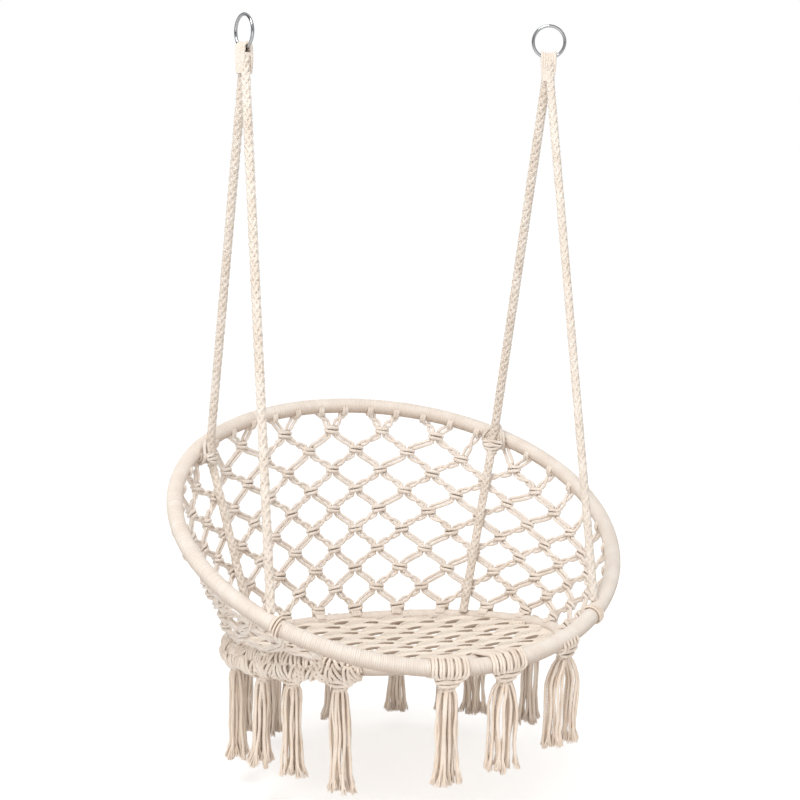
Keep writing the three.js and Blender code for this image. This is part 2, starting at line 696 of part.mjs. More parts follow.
// A tie is a bundle of cords that comes over the seat hoop and passes round the large hoop
function tieSolid(angle) {
  const front = onHoop(backHoop, angle);
  const rearAngle = THREE.MathUtils.radToDeg(Math.asin(front.x / SEAT_HOOP_RADIUS));
  const along = onHoop(seatHoop, rearAngle).sub(front);
  const span = along.length();
  const profile = new THREE.Shape();
  profile.moveTo(span, seatOuter + GATHER_COVER);
  profile.absarc(0, 0, backOuter + GATHER_COVER, Math.PI / 2, (3 * Math.PI) / 2, false);
  profile.lineTo(span, -seatOuter - GATHER_COVER);
  const options = { depth: TIE_WIDTH, bevelEnabled: false, curveSegments: HOOP_SIDES };
  const band = new THREE.ExtrudeGeometry(profile, options).translate(0, 0, -TIE_WIDTH / 2);
  const x = along.normalize();
  const z = new THREE.Vector3(1, 0, 0).cross(x).cross(x).normalize();
  const y = z.clone().cross(x);
  band.applyMatrix4(new THREE.Matrix4().makeBasis(x, y, z));
  return toSolid(band.translate(front.x, front.y, front.z));
}

function addTassels(hoop, shares, start) {
  shares.forEach(([angle, share, tied], k) => {
    const number = String(start + k).padStart(2, '0');
    const middle = onHoop(hoop, angle);
    let gather = coneSolid(hoop, middle);
    if (tied) gather = gather.add(tieSolid(angle));
    gather = gather.subtract(backCutter).subtract(seatCutter).subtract(socketSolid(middle));
    part(`gather_${number}`, toGeometry(gather), COTTON);
    const tassels = toGeometry(tasselSolid(TASSEL_LENGTH * share, k / TASSEL_CORD_SIDES));
    const tassel = part(`tassel_${number}`, tassels, COTTON_CORE);
    tassel.position.set(middle.x, middle.y, middle.z - TASSEL_DROP);
    const tangent = onHoop(hoop, angle + 1).sub(onHoop(hoop, angle - 1)).setZ(0).normalize();
    tassel.userData.axis = tangent.toArray();
  });
}

addTassels(seatHoop, SEAT_TASSEL_SHARES, 1);
addTassels(backHoop, FRONT_TASSEL_SHARES, 1 + SEAT_TASSEL_SHARES.length);

export default chair;
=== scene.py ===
# %% [markdown]
# A hanging hammock chair, dressed for the picture
#
# The chair hangs from two steel rings. Four plaited cotton ropes carry a large cord-wound hoop, a
# knotted net and seat hang between it and a smaller hoop, and tassels hang under both. The hard frame
# comes from the CAD model; this file makes the cord, the knots, the finishes, the light and the camera.
# The imported model is loaded first.

# %% Load the frame
import math
import random
from functools import partial
import bpy
from mathutils import Matrix, Vector


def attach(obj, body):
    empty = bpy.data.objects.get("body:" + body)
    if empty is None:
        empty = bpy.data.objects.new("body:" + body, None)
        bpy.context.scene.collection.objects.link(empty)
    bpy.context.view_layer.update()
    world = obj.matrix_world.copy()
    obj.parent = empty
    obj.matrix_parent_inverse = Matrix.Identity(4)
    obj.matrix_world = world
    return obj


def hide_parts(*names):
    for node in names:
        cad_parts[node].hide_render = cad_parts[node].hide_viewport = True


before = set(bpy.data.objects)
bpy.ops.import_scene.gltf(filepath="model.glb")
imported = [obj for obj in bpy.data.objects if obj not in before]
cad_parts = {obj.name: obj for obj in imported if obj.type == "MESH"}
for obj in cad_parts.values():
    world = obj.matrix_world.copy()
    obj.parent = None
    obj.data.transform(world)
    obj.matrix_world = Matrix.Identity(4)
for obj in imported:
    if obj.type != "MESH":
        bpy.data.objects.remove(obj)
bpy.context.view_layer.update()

# %% [markdown]
# The camera
#
# The photograph was taken from the chair's left, a little above the seat, with a long lens. A camera was
# fitted to the two round hoops, whose true shape is known, which gives its place, its turn and its lens.
# A look-at constraint would do for a guess; here the axes are written out, because the fit gives them.

# %% Camera
CAMERA_PLACE = Vector((-1.1579, -2.8718, -0.1944))
CAMERA_YAW = 0.3848
CAMERA_PITCH = 0.1444
CAMERA_ROLL = 0.0125
LENS_MM = 81.0
SENSOR_MM = 36.0


def add_object(name, data):
    made = bpy.data.objects.new(name, data)
    bpy.context.scene.collection.objects.link(made)
    return made


def camera_axes(yaw, pitch, roll):
    level = math.cos(pitch)
    forward = Vector((math.sin(yaw) * level, math.cos(yaw) * level, -math.sin(pitch)))
    right = Vector((math.cos(yaw), -math.sin(yaw), 0.0))
    up = right.cross(forward)
    turned_right = right * math.cos(roll) + up * math.sin(roll)
    turned_up = up * math.cos(roll) - right * math.sin(roll)
    return Matrix((turned_right, turned_up, -forward)).transposed()


camera_data = bpy.data.cameras.new("Camera")
camera_data.lens = LENS_MM
camera_data.sensor_width = SENSOR_MM
camera = add_object("Camera", camera_data)
axes = camera_axes(CAMERA_YAW, CAMERA_PITCH, CAMERA_ROLL).to_4x4()
camera.matrix_world = Matrix.Translation(CAMERA_PLACE) @ axes
bpy.context.scene.camera = camera
print("camera", tuple(round(v, 3) for v in camera.location), "lens", LENS_MM)

# %% [markdown]
# The two hoops
#
# Both hoops are known curves: a circle that is tilted, and for the large one also sprung a little by the
# ropes. Everything else is placed on them, so they come first, as small functions that give a point at an
# angle from the front. The numbers repeat those of the CAD source, in metres.

# %% Sizes of the hoops
BACK_RADIUS = 0.3875
BACK_WOUND = 0.0151
BACK_TILT = math.radians(24.3)
BACK_SPRING = 0.0065
BACK_MIDDLE = Vector((0.0, 0.0014, -0.8597))
SEAT_RADIUS = 0.2858
SEAT_WOUND = 0.0131
SEAT_TILT = math.radians(-7.3)
SEAT_SETBACK = 0.0475
SEAT_DROP = 0.0077
UP = Vector((0.0, 0.0, 1.0))


class Hoop:
    def __init__(self, radius, wound, tilt, spring, middle):
        self.radius, self.wound, self.spring, self.middle = radius, wound, spring, middle
        self.turn = Matrix.Rotation(tilt, 3, "X")

    def at(self, degrees, out=0.0, across=0.0):
        a = math.radians(degrees)
        reach = self.radius + out
        lift = across - self.spring * math.cos(2 * a)
        return self.middle + self.turn @ Vector((reach * math.sin(a), -reach * math.cos(a), lift))

    def around(self, degrees, reach, a):
        """A point at an angle round the hoop's section, from 0 on its outer side"""
        return self.at(degrees, reach * math.cos(a), reach * math.sin(a))

    def outward(self, degrees):
        a = math.radians(degrees)
        return self.turn @ Vector((math.sin(a), -math.cos(a), 0.0))

    def across(self):
        return self.turn @ UP


back_hoop = Hoop(BACK_RADIUS, BACK_WOUND, BACK_TILT, BACK_SPRING, BACK_MIDDLE)
front = back_hoop.at(0)
seat_middle = Vector((0.0, front.y + SEAT_SETBACK + SEAT_RADIUS * math.cos(SEAT_TILT),
                      front.z - SEAT_DROP + SEAT_RADIUS * math.sin(SEAT_TILT)))
seat_hoop = Hoop(SEAT_RADIUS, SEAT_WOUND, SEAT_TILT, 0.0, seat_middle)
print("large hoop's front", tuple(round(v, 4) for v in front), "seat hoop's middle",
      tuple(round(v, 4) for v in seat_middle))

# %% [markdown]
# Trees of nodes
#
# The materials, the cords and the white studio air are all trees of nodes. They could be wired by hand in
# Blender's editor. Code can be read and changed in one place, and a few helpers, each of which adds a node
# together with its inputs, keep every tree short.

# %% Helpers for node trees
def feed(tree, socket, value):
    if isinstance(value, bpy.types.NodeSocket):
        tree.links.new(value, socket)
    else:
        socket.default_value = value


def wire(tree, made, **values):
    for label, value in values.items():
        feed(tree, made.inputs[label.replace("_", " ")], value)
    return made


def node(tree, kind, settings=(), **values):
    made = tree.nodes.new(kind)
    for label, value in dict(settings).items():
        setattr(made, label, value)
    return wire(tree, made, **values)


def maths(tree, operation, *values):
    made = node(tree, "ShaderNodeMath", {"operation": operation})
    for socket, value in zip(made.inputs, values):
        feed(tree, socket, value)
    return made.outputs[0]


def vectors(tree, operation, first, second):
    made = node(tree, "ShaderNodeVectorMath", {"operation": operation})
    feed(tree, made.inputs[0], first)
    feed(tree, made.inputs["Scale" if operation == "SCALE" else 1], second)
    return made.outputs[0]


def noise(tree, scale, detail):
    where = node(tree, "ShaderNodeTexCoord").outputs["Object"]
    return node(tree, "ShaderNodeTexNoise", Vector=where, Scale=scale, Detail=detail).outputs["Fac"]


def remap(tree, value, low, high, new_low=0.0, new_high=1.0):
    """Turns the range from low to high into the new range, and holds what is outside at its ends"""
    return node(tree, "ShaderNodeMapRange", Value=value, From_Min=low, From_Max=high, To_Min=new_low,
                To_Max=new_high).outputs["Result"]


def new_material(name):
    material = bpy.data.materials.new(name)
    material.use_nodes = True
    return material, material.node_tree, material.node_tree.nodes["Principled BSDF"]


# %% [markdown]
# Cotton and steel
#
# The cord is raw cotton: cream, matt, a little uneven in colour from length to length, with fine fibres
# that catch the light at its edges. Noise in the object's own coordinates gives the uneven colour and the
# fibres. Shade is painted into the colour down in the hollows between cords: a node that measures how
# closed in a place is darkens it there. The hoops are thick and smooth, so their winding also has painted
# shade where it faces down.
# A picture of cotton would show its seams. A touch of sheen stands for the fuzz. The rings are plated steel,
# smooth, with faint streaks from handling.

# %% Cotton
PATCH_SCALE = 38.0
FIBRE_SCALE = 900.0
FIBRE_SHARE = 0.35
FIBRE_HEIGHT = 0.0006
DEEP_AT = 0.38
PALE_AT = 0.82
# Painted shade: the reach and colour of hollow shade, and the facing where underside shade starts and is full
HOLLOW_REACH = 0.009
HOLLOW_SHADE_TONE = (0.50, 0.38, 0.29, 1.0)
SHADE_STARTS = 0.40
SHADE_FULL = -0.80


def cotton(name, pale, deep, closed, opened, fibre=1.0, under=0.0):
    """Raw cotton; closed and opened bound the hollows that get painted shade, under is how far painted shade
    darkens the underside
    """
    material, tree, shader = new_material(name)
    fibres = noise(tree, FIBRE_SCALE, 2.0)
    ramp = node(tree, "ShaderNodeValToRGB",
                Fac=maths(tree, "MULTIPLY_ADD", fibres, FIBRE_SHARE, noise(tree, PATCH_SCALE, 3.0)))
    for stop, position, colour in zip(ramp.color_ramp.elements, (DEEP_AT, PALE_AT), (deep, pale)):
        stop.position = position
        stop.color = (*colour, 1.0)
    # Painted shade: the occlusion node mixes the hollow shade tone into the colour in closed places
    hollow = node(tree, "ShaderNodeAmbientOcclusion", {"samples": 4}, Distance=HOLLOW_REACH)
    lit = remap(tree, hollow.outputs["AO"], closed, opened)
    # Painted shade on the underside: the colour darkens, by up to under, where the surface faces down
    if under:
        normal = node(tree, "ShaderNodeNewGeometry").outputs["Normal"]
        upright = node(tree, "ShaderNodeSeparateXYZ", Vector=normal).outputs["Z"]
        lit = maths(tree, "MULTIPLY", lit, remap(tree, upright, SHADE_STARTS, SHADE_FULL, 1.0, 1.0 - under))
    tone = node(tree, "ShaderNodeMix", {"data_type": "RGBA"})
    for number, value in ((0, lit), (6, HOLLOW_SHADE_TONE), (7, ramp.outputs["Color"])):
        feed(tree, tone.inputs[number], value)
    bump = node(tree, "ShaderNodeBump", Strength=0.5 * fibre, Distance=FIBRE_HEIGHT, Height=fibres)
    wire(tree, shader, Base_Color=tone.outputs[2], Normal=bump.outputs["Normal"], Roughness=0.88,
         Sheen_Weight=0.25, Sheen_Roughness=0.5, Specular_IOR_Level=0.2)
    return material


# Each cotton: pale and deep tones, then the bounds of its painted hollow shade; wound adds fibre and
# underside shade
COTTONS = {
    "wound": ((0.885, 0.815, 0.75), (0.80, 0.71, 0.635), 0.28, 0.74, 0.6, 0.75),
    "seat": ((0.97, 0.89, 0.80), (0.91, 0.805, 0.70), 0.16, 0.54),
    # Painted shade: the dark cords in the seat's openings stand for the shade inside them
    "shaded": ((0.46, 0.36, 0.285), (0.34, 0.26, 0.20), 0.15, 0.60),
    "net": ((0.94, 0.865, 0.795), (0.81, 0.71, 0.625), 0.04, 0.36),
    "knotted": ((0.95, 0.855, 0.765), (0.81, 0.685, 0.575), 0.05, 0.40),
    "rope": ((0.885, 0.815, 0.745), (0.75, 0.655, 0.565), 0.03, 0.36),
    "loose": ((0.955, 0.84, 0.735), (0.845, 0.705, 0.58), 0.03, 0.34),
}
cottons = {kind: cotton(f"{kind.capitalize()} cotton", *facts) for kind, facts in COTTONS.items()}

# %% Steel
STREAK_SCALE = 260.0


def steel(name, colour, roughness):
    material, tree, shader = new_material(name)
    streaks = remap(tree, noise(tree, STREAK_SCALE, 4.0), 0.0, 1.0, roughness * 0.8, roughness * 1.5)
    wire(tree, shader, Base_Color=(*colour, 1.0), Metallic=1.0, Roughness=streaks)
    return material


ring_steel = steel("Ring steel", (0.50, 0.51, 0.53), 0.10)
tube_steel = steel("Tube steel", (0.42, 0.43, 0.45), 0.4)
print("materials", len(bpy.data.materials))

# %% [markdown]
# A cord, laid from plies
#
# The chair's cords are cotton, laid from plies that turn round each other, mostly three to a cord. Modelling
# a smooth tube and painting the plies on it would look flat at the edges, so each ply is a tube of its own.
# A Geometry Nodes tree does it for any number of paths at once: it smooths and resamples each path, copies
# it once for each ply, moves each copy round the path as it goes along, and gives it a round section.

# %% Stages that trees share
def new_tree(name, inputs):
    """A tree with a geometry input and these others, a material last, and the sockets that give them"""
    tree = bpy.data.node_groups.new(name, "GeometryNodeTree")
    for way in ("INPUT", "OUTPUT"):
        tree.interface.new_socket("Geometry", in_out=way, socket_type="NodeSocketGeometry")
    for label, value in inputs.items():
        kind = "NodeSocketInt" if isinstance(value, int) else "NodeSocketFloat"
        tree.interface.new_socket(label, in_out="INPUT", socket_type=kind).default_value = value
    tree.interface.new_socket("Material", in_out="INPUT", socket_type="NodeSocketMaterial")
    return tree, tree.nodes.new("NodeGroupInput").outputs


def circle(tree, corners, radius):
    return node(tree, "GeometryNodeCurvePrimitiveCircle", Resolution=corners, Radius=radius).outputs[0]


def copies(tree, paths, count):
    return node(tree, "GeometryNodeDuplicateElements", {"domain": "SPLINE"}, Geometry=paths,
                Amount=count).outputs


def evenly(tree, paths, step):
    return node(tree, "GeometryNodeResampleCurve", {"mode": "LENGTH"}, Curve=paths, Length=step).outputs[0]


def turns_along(tree, length):
    """How many times a path has turned round after each of its points, at one turn for each length"""
    run = node(tree, "GeometryNodeSplineParameter").outputs["Length"]
    return maths(tree, "DIVIDE", run, length)


def move_round(tree, paths, angle, reach):
    """Moves the points of paths off their line, by reach, at an angle round it"""
    normal = node(tree, "GeometryNodeInputNormal").outputs[0]
    tangent = node(tree, "GeometryNodeInputTangent").outputs[0]
    side = vectors(tree, "CROSS_PRODUCT", tangent, normal)
    way = vectors(tree, "ADD", vectors(tree, "SCALE", normal, maths(tree, "COSINE", angle)),
                  vectors(tree, "SCALE", side, maths(tree, "SINE", angle)))
    return node(tree, "GeometryNodeSetPosition", Geometry=paths,
                Offset=vectors(tree, "SCALE", way, reach)).outputs[0]


def ply_stage(tree, paths, sockets):
    """Adds the nodes that turn each path into a cord of plies"""
    smooth = node(tree, "GeometryNodeCurveSplineType", {"spline_type": "CATMULL_ROM"}, Curve=paths)
    plies = copies(tree, evenly(tree, smooth.outputs[0], sockets["Step"]), sockets["Plies"])
    share = maths(tree, "DIVIDE", plies["Duplicate Index"], sockets["Plies"])
    turns = maths(tree, "ADD", turns_along(tree, sockets["Lay"]), share)
    moved = move_round(tree, plies[0], maths(tree, "MULTIPLY", turns, 2 * math.pi), sockets["Ply orbit"])
    return node(tree, "GeometryNodeCurveToMesh", Curve=moved, Fill_Caps=True,
                Profile_Curve=circle(tree, sockets["Sides"], sockets["Ply radius"])).outputs[0]


def finish_tree(tree, mesh, material):
    """Ends a tree as plain shaded mesh with its material"""
    real = node(tree, "GeometryNodeRealizeInstances", Geometry=mesh)
    shaded = node(tree, "GeometryNodeSetShadeSmooth", Geometry=real.outputs[0])
    painted = node(tree, "GeometryNodeSetMaterial", Geometry=shaded.outputs[0], Material=material)
    node(tree, "NodeGroupOutput", Geometry=painted.outputs[0])
    print(tree.name, len(tree.nodes), "nodes")


# %% The tree of a laid cord
CORD_INPUTS = {"Plies": 3, "Ply radius": 0.002, "Ply orbit": 0.0012, "Lay": 0.014, "Sides": 5, "Step": 0.003}
cord_tree, cord = new_tree("Laid cord", CORD_INPUTS)
finish_tree(cord_tree, ply_stage(cord_tree, cord["Geometry"], cord), cord["Material"])


# %% The kinds of cord
def cord_kind(paint, radius, orbit, step, lay=0.014, **more):
    """Radius and orbit are each ply's, lay is the length of one turn, and step is between two sections"""
    return dict(Material=cottons[paint], Ply_radius=radius, Ply_orbit=orbit, Step=step, Lay=lay, **more)


CORDS = {
    "strand": cord_kind("rope", 0.0019, 0.0010, 0.0043, 0.024),
    "core": cord_kind("rope", 0.0038, 0.0024, 0.0040, 0.026, Sides=7),
    "loop": cord_kind("rope", 0.0024, 0.0005, 0.0025, 0.035, Sides=7),
    "lashing": cord_kind("loose", 0.0011, 0.0011, 0.0020, 0.010),
    "crossing": cord_kind("rope", 0.0021, 0.0012, 0.0027),
    "net": cord_kind("net", 0.0023, 0.0014, 0.0045, 0.016),
    "band": cord_kind("seat", 0.0021, 0.0010, 0.0060, Plies=2),
    "opening": cord_kind("shaded", 0.0012, 0.0007, 0.0040),
    "tassel": cord_kind("loose", 0.0020, 0.0012, 0.0054, 0.017),
    "fibre": cord_kind("loose", 0.0009, 0.0, 0.0050, 0.010, Plies=1, Sides=4),
    "rim": cord_kind("knotted", 0.0022, 0.0014, 0.0043),
    "swag": cord_kind("knotted", 0.0021, 0.0013, 0.0036),
    "bundle": cord_kind("knotted", 0.0019, 0.0012, 0.0028),
    "fan": cord_kind("knotted", 0.0019, 0.0012, 0.0030),
}
print("kinds of cord", len(CORDS))


# %% Paths in, mesh out
def path_object(name, paths):
    """A curve object with one straight-segment spline for each list of points"""
    data = bpy.data.curves.new(name, "CURVE")
    data.dimensions = "3D"
    for points in paths:
        spline = data.splines.new("POLY")
        spline.points.add(len(points) - 1)
        spline.points.foreach_set("co", [v for p in points for v in (p[0], p[1], p[2], 1.0)])
    return add_object(name, data)


def grow(name, paths, tree, **values):
    """Runs a tree on paths and returns the plain mesh object that comes out"""
    source = path_object(name, paths)
    modifier = source.modifiers.new(tree.name, "NODES")
    modifier.node_group = tree
    for item in tree.interface.items_tree:
        key = item.name.replace(" ", "_")
        if item.in_out == "INPUT" and key in values:
            modifier[item.identifier] = values[key]
    bpy.context.view_layer.update()
    grown = source.evaluated_get(bpy.context.evaluated_depsgraph_get())
    mesh = bpy.data.meshes.new_from_object(grown)
    line = source.data
    bpy.data.objects.remove(source)
    bpy.data.curves.remove(line)
    mesh.materials.clear()
    mesh.materials.append(values["Material"])
    mesh.name = name
    print(name, "faces", len(mesh.polygons), "triangles", sum(len(p.vertices) - 2 for p in mesh.polygons))
    return add_object(name, mesh)


def place(piece, body, slot, *nodes):
    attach(piece, body)
    if nodes:
        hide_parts(*nodes)


def cord_piece(name, paths, kind, *nodes, body="chair", slot="cotton_cord", **changes):
    """Paths as cord of one kind, on a body, in place of its CAD nodes"""
    place(grow(name, paths, cord_tree, **{**CORDS[kind], **changes}), body, slot, *nodes)


# %% [markdown]
# The wound hoops
#
# A soft cord is wound round each steel hoop, turn against turn and 3.6 mm from one to the next, some seven
# hundred times on the large one. One long spiral tube would be one way. A turn that is copied along the
# hoop's line is lighter to change and looks the same, so the tree walks the line in steps of one turn and
# puts a slightly leaning, flattened ring at each. Small random changes of size keep the rows of turns from
# looking machined.

# %% The tree of a wound cover
WOUND_INPUTS = {"Pitch": 0.0036, "Turn radius": 0.0132, "Cord radius": 0.0024, "Flatness": 0.4, "Corners": 18,
                "Unevenness": 0.012, "Lean": 0.12, "Seed": 4}
TURN_SIDES = 6
wound_tree, wound = new_tree("Wound cover", WOUND_INPUTS)
add = partial(node, wound_tree)
stops = add("GeometryNodeCurveToPoints", {"mode": "LENGTH"}, Curve=wound["Geometry"], Length=wound["Pitch"])
squash = add("ShaderNodeCombineXYZ", X=wound["Flatness"], Y=1.0, Z=1.0).outputs[0]
section = add("GeometryNodeTransform", Geometry=circle(wound_tree, TURN_SIDES, wound["Cord radius"]),
              Scale=squash).outputs[0]
turn = add("GeometryNodeCurveToMesh", Curve=circle(wound_tree, wound["Corners"], wound["Turn radius"]),
           Profile_Curve=section).outputs[0]
lean = add("ShaderNodeCombineXYZ", X=wound["Lean"], Y=0.0, Z=0.0).outputs[0]
leaning = add("FunctionNodeRotateRotation", {"rotation_space": "LOCAL"}, Rotation=stops.outputs["Rotation"],
              Rotate_By=lean).outputs[0]
size = add("FunctionNodeRandomValue", {"data_type": "FLOAT"}, Seed=wound["Seed"])
size_ends = [s for s in size.inputs if s.name in ("Min", "Max") and s.enabled]
for socket, operation in zip(size_ends, ("SUBTRACT", "ADD")):
    feed(wound_tree, socket, maths(wound_tree, operation, 1.0, wound["Unevenness"]))
turn_size = [s for s in size.outputs if s.enabled][0]
turns = add("GeometryNodeInstanceOnPoints", Points=stops.outputs["Points"], Instance=turn, Rotation=leaning,
            Scale=turn_size).outputs[0]
finish_tree(wound_tree, turns, wound["Material"])


# %% Wind both hoops
BACK_COVER = {"Turn_radius": 0.0132, "Seed": 4}
SEAT_COVER = {"Turn_radius": 0.0112, "Seed": 9, "Corners": 14}
COVERS = (("back_hoop", back_hoop, 240, BACK_COVER, ("front", "right", "rear", "left")),
          ("seat_hoop", seat_hoop, 200, SEAT_COVER, ("front", "right", "left")))
for name, hoop, count, values, lengths in COVERS:
    line = [hoop.at(360 * k / count) for k in range(count + 1)]
    cover = grow(f"{name}_winding", [line], wound_tree, Material=cottons["wound"], **values)
    place(cover, "chair", "cotton_cord", *(f"{name}_wrap_{length}" for length in lengths))
    tube_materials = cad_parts[f"{name}_tube"].data.materials
    tube_materials.clear()
    tube_materials.append(tube_steel)

# %% [markdown]
# The steel rings
#
# Two rings of 5.5 mm wire carry the whole chair. Each is bent from rod and welded, so its wire is slightly
# thicker at the weld, which sits at the top. The CAD rings have few facets; these are revolved finely from
# a row of circles, because a smooth highlight on bright metal shows every facet.

# %% Rings
RING_HALF_SPREAD = 0.2774
RING_RADIUS = 0.0275
RING_WIRE = 0.00275
RING_DROP = RING_RADIUS - RING_WIRE
RING_TURNS = {"left": 77.0, "right": 26.0}
RING_STEPS = 120
WIRE_SIDES = 24
WELD_SWELL_SHARE = 0.07
WELD_ANGLE = 0.05
SIDES = {"left": -1, "right": 1}


def ring_mesh(name):
    points, faces = [], []
    for k in range(RING_STEPS):
        a = 2 * math.pi * k / RING_STEPS
        from_weld = math.remainder(a, 2 * math.pi) / WELD_ANGLE
        wire_here = RING_WIRE * (1 + WELD_SWELL_SHARE * math.exp(-from_weld * from_weld))
        for j in range(WIRE_SIDES):
            b = 2 * math.pi * j / WIRE_SIDES
            reach = RING_RADIUS + wire_here * math.cos(b)
            points.append((reach * math.sin(a), wire_here * math.sin(b), reach * math.cos(a)))
            row, next_row = k * WIRE_SIDES, (k + 1) % RING_STEPS * WIRE_SIDES
            beside = (j + 1) % WIRE_SIDES
            faces.append((row + j, row + beside, next_row + beside, next_row + j))
    mesh = bpy.data.meshes.new(name)
    mesh.from_pydata(points, [], faces)
    mesh.shade_smooth()
    return mesh


def ring_frame(side, drop):
    """The turned directions of a ring, at a depth below the hooks"""
    middle = Vector((SIDES[side] * RING_HALF_SPREAD, 0.0, -drop))
    return Matrix.Translation(middle) @ Matrix.Rotation(-math.radians(RING_TURNS[side]), 4, "Z")


for side in SIDES:
    mesh = ring_mesh(f"ring_{side}_wire")
    mesh.transform(ring_frame(side, RING_DROP))
    mesh.materials.append(ring_steel)
    place(add_object(f"ring_{side}_wire", mesh), "rings", "ring_steel", f"ring_{side}")
    print(mesh.name, "faces", len(mesh.polygons))

# %% [markdown]
# The plaited ropes
#
# Each rope is a round plait of eight strands about a core: four strands run round it one way, four the other
# way, and each passes over one strand and under the next. That rule is two angles and one waving radius, so
# a tree makes it: it copies the rope's path eight times, turns the copies round it, and hands them to the
# same stage that lays a cord from plies. The core is one thick cord on the same path, which closes the gaps
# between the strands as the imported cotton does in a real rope. A plait pulled tight is thinner, so the
# radius is a number of each rope.

# %% The tree of a plaited rope
PLAIT_INPUTS = {"Plait length": 0.060, "Plait radius": 0.0052, "Plait wave": 0.0008, **CORD_INPUTS}
STRANDS_EACH_WAY = 4
plait_tree, plait = new_tree("Plaited rope", PLAIT_INPUTS)
sums = partial(maths, plait_tree)
strands = copies(plait_tree, evenly(plait_tree, plait["Geometry"], plait["Step"]), 2 * STRANDS_EACH_WAY)
which = strands["Duplicate Index"]
other_way = sums("GREATER_THAN", which, STRANDS_EACH_WAY - 0.5)
way = sums("SUBTRACT", 1.0, sums("MULTIPLY", other_way, 2.0))
place_round = sums("MULTIPLY", sums("MODULO", which, STRANDS_EACH_WAY), 2 * math.pi / STRANDS_EACH_WAY)
spin = sums("MULTIPLY", turns_along(plait_tree, plait["Plait length"]), 2 * math.pi)
heading = sums("ADD", sums("MULTIPLY", spin, way), place_round)
wave = sums("MULTIPLY", sums("COSINE", sums("MULTIPLY", spin, STRANDS_EACH_WAY)), way)
plait_reach = sums("ADD", plait["Plait radius"], sums("MULTIPLY", wave, plait["Plait wave"]))
plaited = move_round(plait_tree, strands[0], heading, plait_reach)
finish_tree(plait_tree, ply_stage(plait_tree, plaited, plait), plait["Material"])

# %% Rope routes
ROPE_RADIUS = 0.008
HANGER_LENGTH = 0.038
PIVOT_DROP = RING_DROP + RING_RADIUS
FIT_GAP = 0.0003
FRONT_ROPE_ANGLES = {"left": 52.2, "right": 43.8}
REAR_ROPE_ANGLES = {"left": 131.0, "right": 129.0}
SEAT_ROPE_ANGLES = {"left": 130.0, "right": 131.5}
NECK_TOP = 0.0075
PLAIT_RADII = {("front", "left"): 0.0052, ("rear", "left"): 0.0052,
               ("front", "right"): 0.0047, ("rear", "right"): 0.0057}
APART_SHARE = 0.92
FRONT_FOOT_SHARE = 0.62
REAR_FOOT_SHARE = 0.75
ROUTE_STEP = 0.01
SOFTENINGS = 3


def rope_start(side, forward, depth):
    return Vector((SIDES[side] * RING_HALF_SPREAD, forward * (ROPE_RADIUS + FIT_GAP) * APART_SHARE,
                   -PIVOT_DROP - depth))


def smooth_line(points):
    """More points on straight stretches, so that resampling keeps the corners gentle"""
    line = []
    for a, b in zip(points, points[1:]):
        count = max(1, round((b - a).length / ROUTE_STEP))
        line += [a.lerp(b, k / count) for k in range(count)]
    line.append(points[-1])
    for _ in range(SOFTENINGS):
        middles = [a * 0.25 + b * 0.5 + c * 0.25 for a, b, c in zip(line, line[1:], line[2:])]
        line = [line[0], *middles, line[-1]]
    return line


def rope_route(side, end):
    """From its ring to the large hoop in front, or past it to the seat hoop at the rear"""
    sign = SIDES[side]
    forward = -1 if end == "front" else 1
    tops = [rope_start(side, forward, NECK_TOP), rope_start(side, forward, HANGER_LENGTH)]
    if end == "front":
        depth = BACK_WOUND * FRONT_FOOT_SHARE
        return smooth_line([*tops, back_hoop.at(sign * FRONT_ROPE_ANGLES[side], -depth, depth)])
    depth = SEAT_WOUND * REAR_FOOT_SHARE
    bend = back_hoop.at(sign * REAR_ROPE_ANGLES[side], -(BACK_WOUND + ROPE_RADIUS))
    return smooth_line([*tops, bend, seat_hoop.at(sign * SEAT_ROPE_ANGLES[side], -depth, depth)])


for side in SIDES:
    for end in ("front", "rear"):
        name, route = f"rope_{end}_{side}", rope_route(side, end)
        rope = grow(f"{name}_plait", [route], plait_tree, Plait_radius=PLAIT_RADII[end, side],
                    **CORDS["strand"])
        place(rope, "chair", "cotton_cord", name)
        cord_piece(f"{name}_core", [route], "core")

# %% [markdown]
# The rope ends on the rings
#
# At each ring the strands of both ropes pass over the wire side by side and come back down, and so make a
# flat band that narrows to where the two ropes part. A drawn band would have no edges between its strands,
# so each strand is a short bent path of its own, written in the frame of the ring's lowest point. The band
# turns with the ring, and all go through the tree of the laid cord.

# %% Rope ends
HEAD_WIDTH = 0.0265
HEAD_CORDS = 6


def head_cord(along, front):
    """From over the wire down to where the two ropes part, in the frame of a ring's lowest point"""
    rise = RING_RADIUS - math.sqrt(RING_RADIUS ** 2 - along ** 2)
    sign = -1 if front else 1
    path = [Vector((along, -sign * 0.0062, rise * 0.5 - 0.004))]
    for k in range(6):
        a = math.pi * k / 5
        path.append(Vector((along, -sign * 0.0068 * math.cos(a), rise + 0.0066 * math.sin(a))))
    down = ((0.98, 0.0076, -0.010), (0.93, 0.0078, -0.020), (0.80, 0.0080, -0.030), (0.55, 0.0086, -0.040))
    return path + [Vector((along * narrow, sign * deep, up)) for narrow, deep, up in down]


for side in SIDES:
    turned = ring_frame(side, PIVOT_DROP)
    paths = []
    for k in range(HEAD_CORDS):
        along = (k - (HEAD_CORDS - 1) / 2) / HEAD_CORDS * HEAD_WIDTH
        for front in (True, False):
            paths.append([turned @ v for v in head_cord(along, front)])
    cord_piece(f"rope_end_{side}_loops", paths, "loop", f"hanger_{side}")

# %% [markdown]
# A square knot
#
# Nearly everything on this chair is held by the same knot. Two cords run straight through it, and two are
# tied round them: one passes in front, the other behind, and back again, which leaves slanting bars on each
# face. A knot is a place with its own sideways, upward and inward directions, and its four cords are
# written in those, so one list of points serves for the net, the rim, the ropes and the tassels.

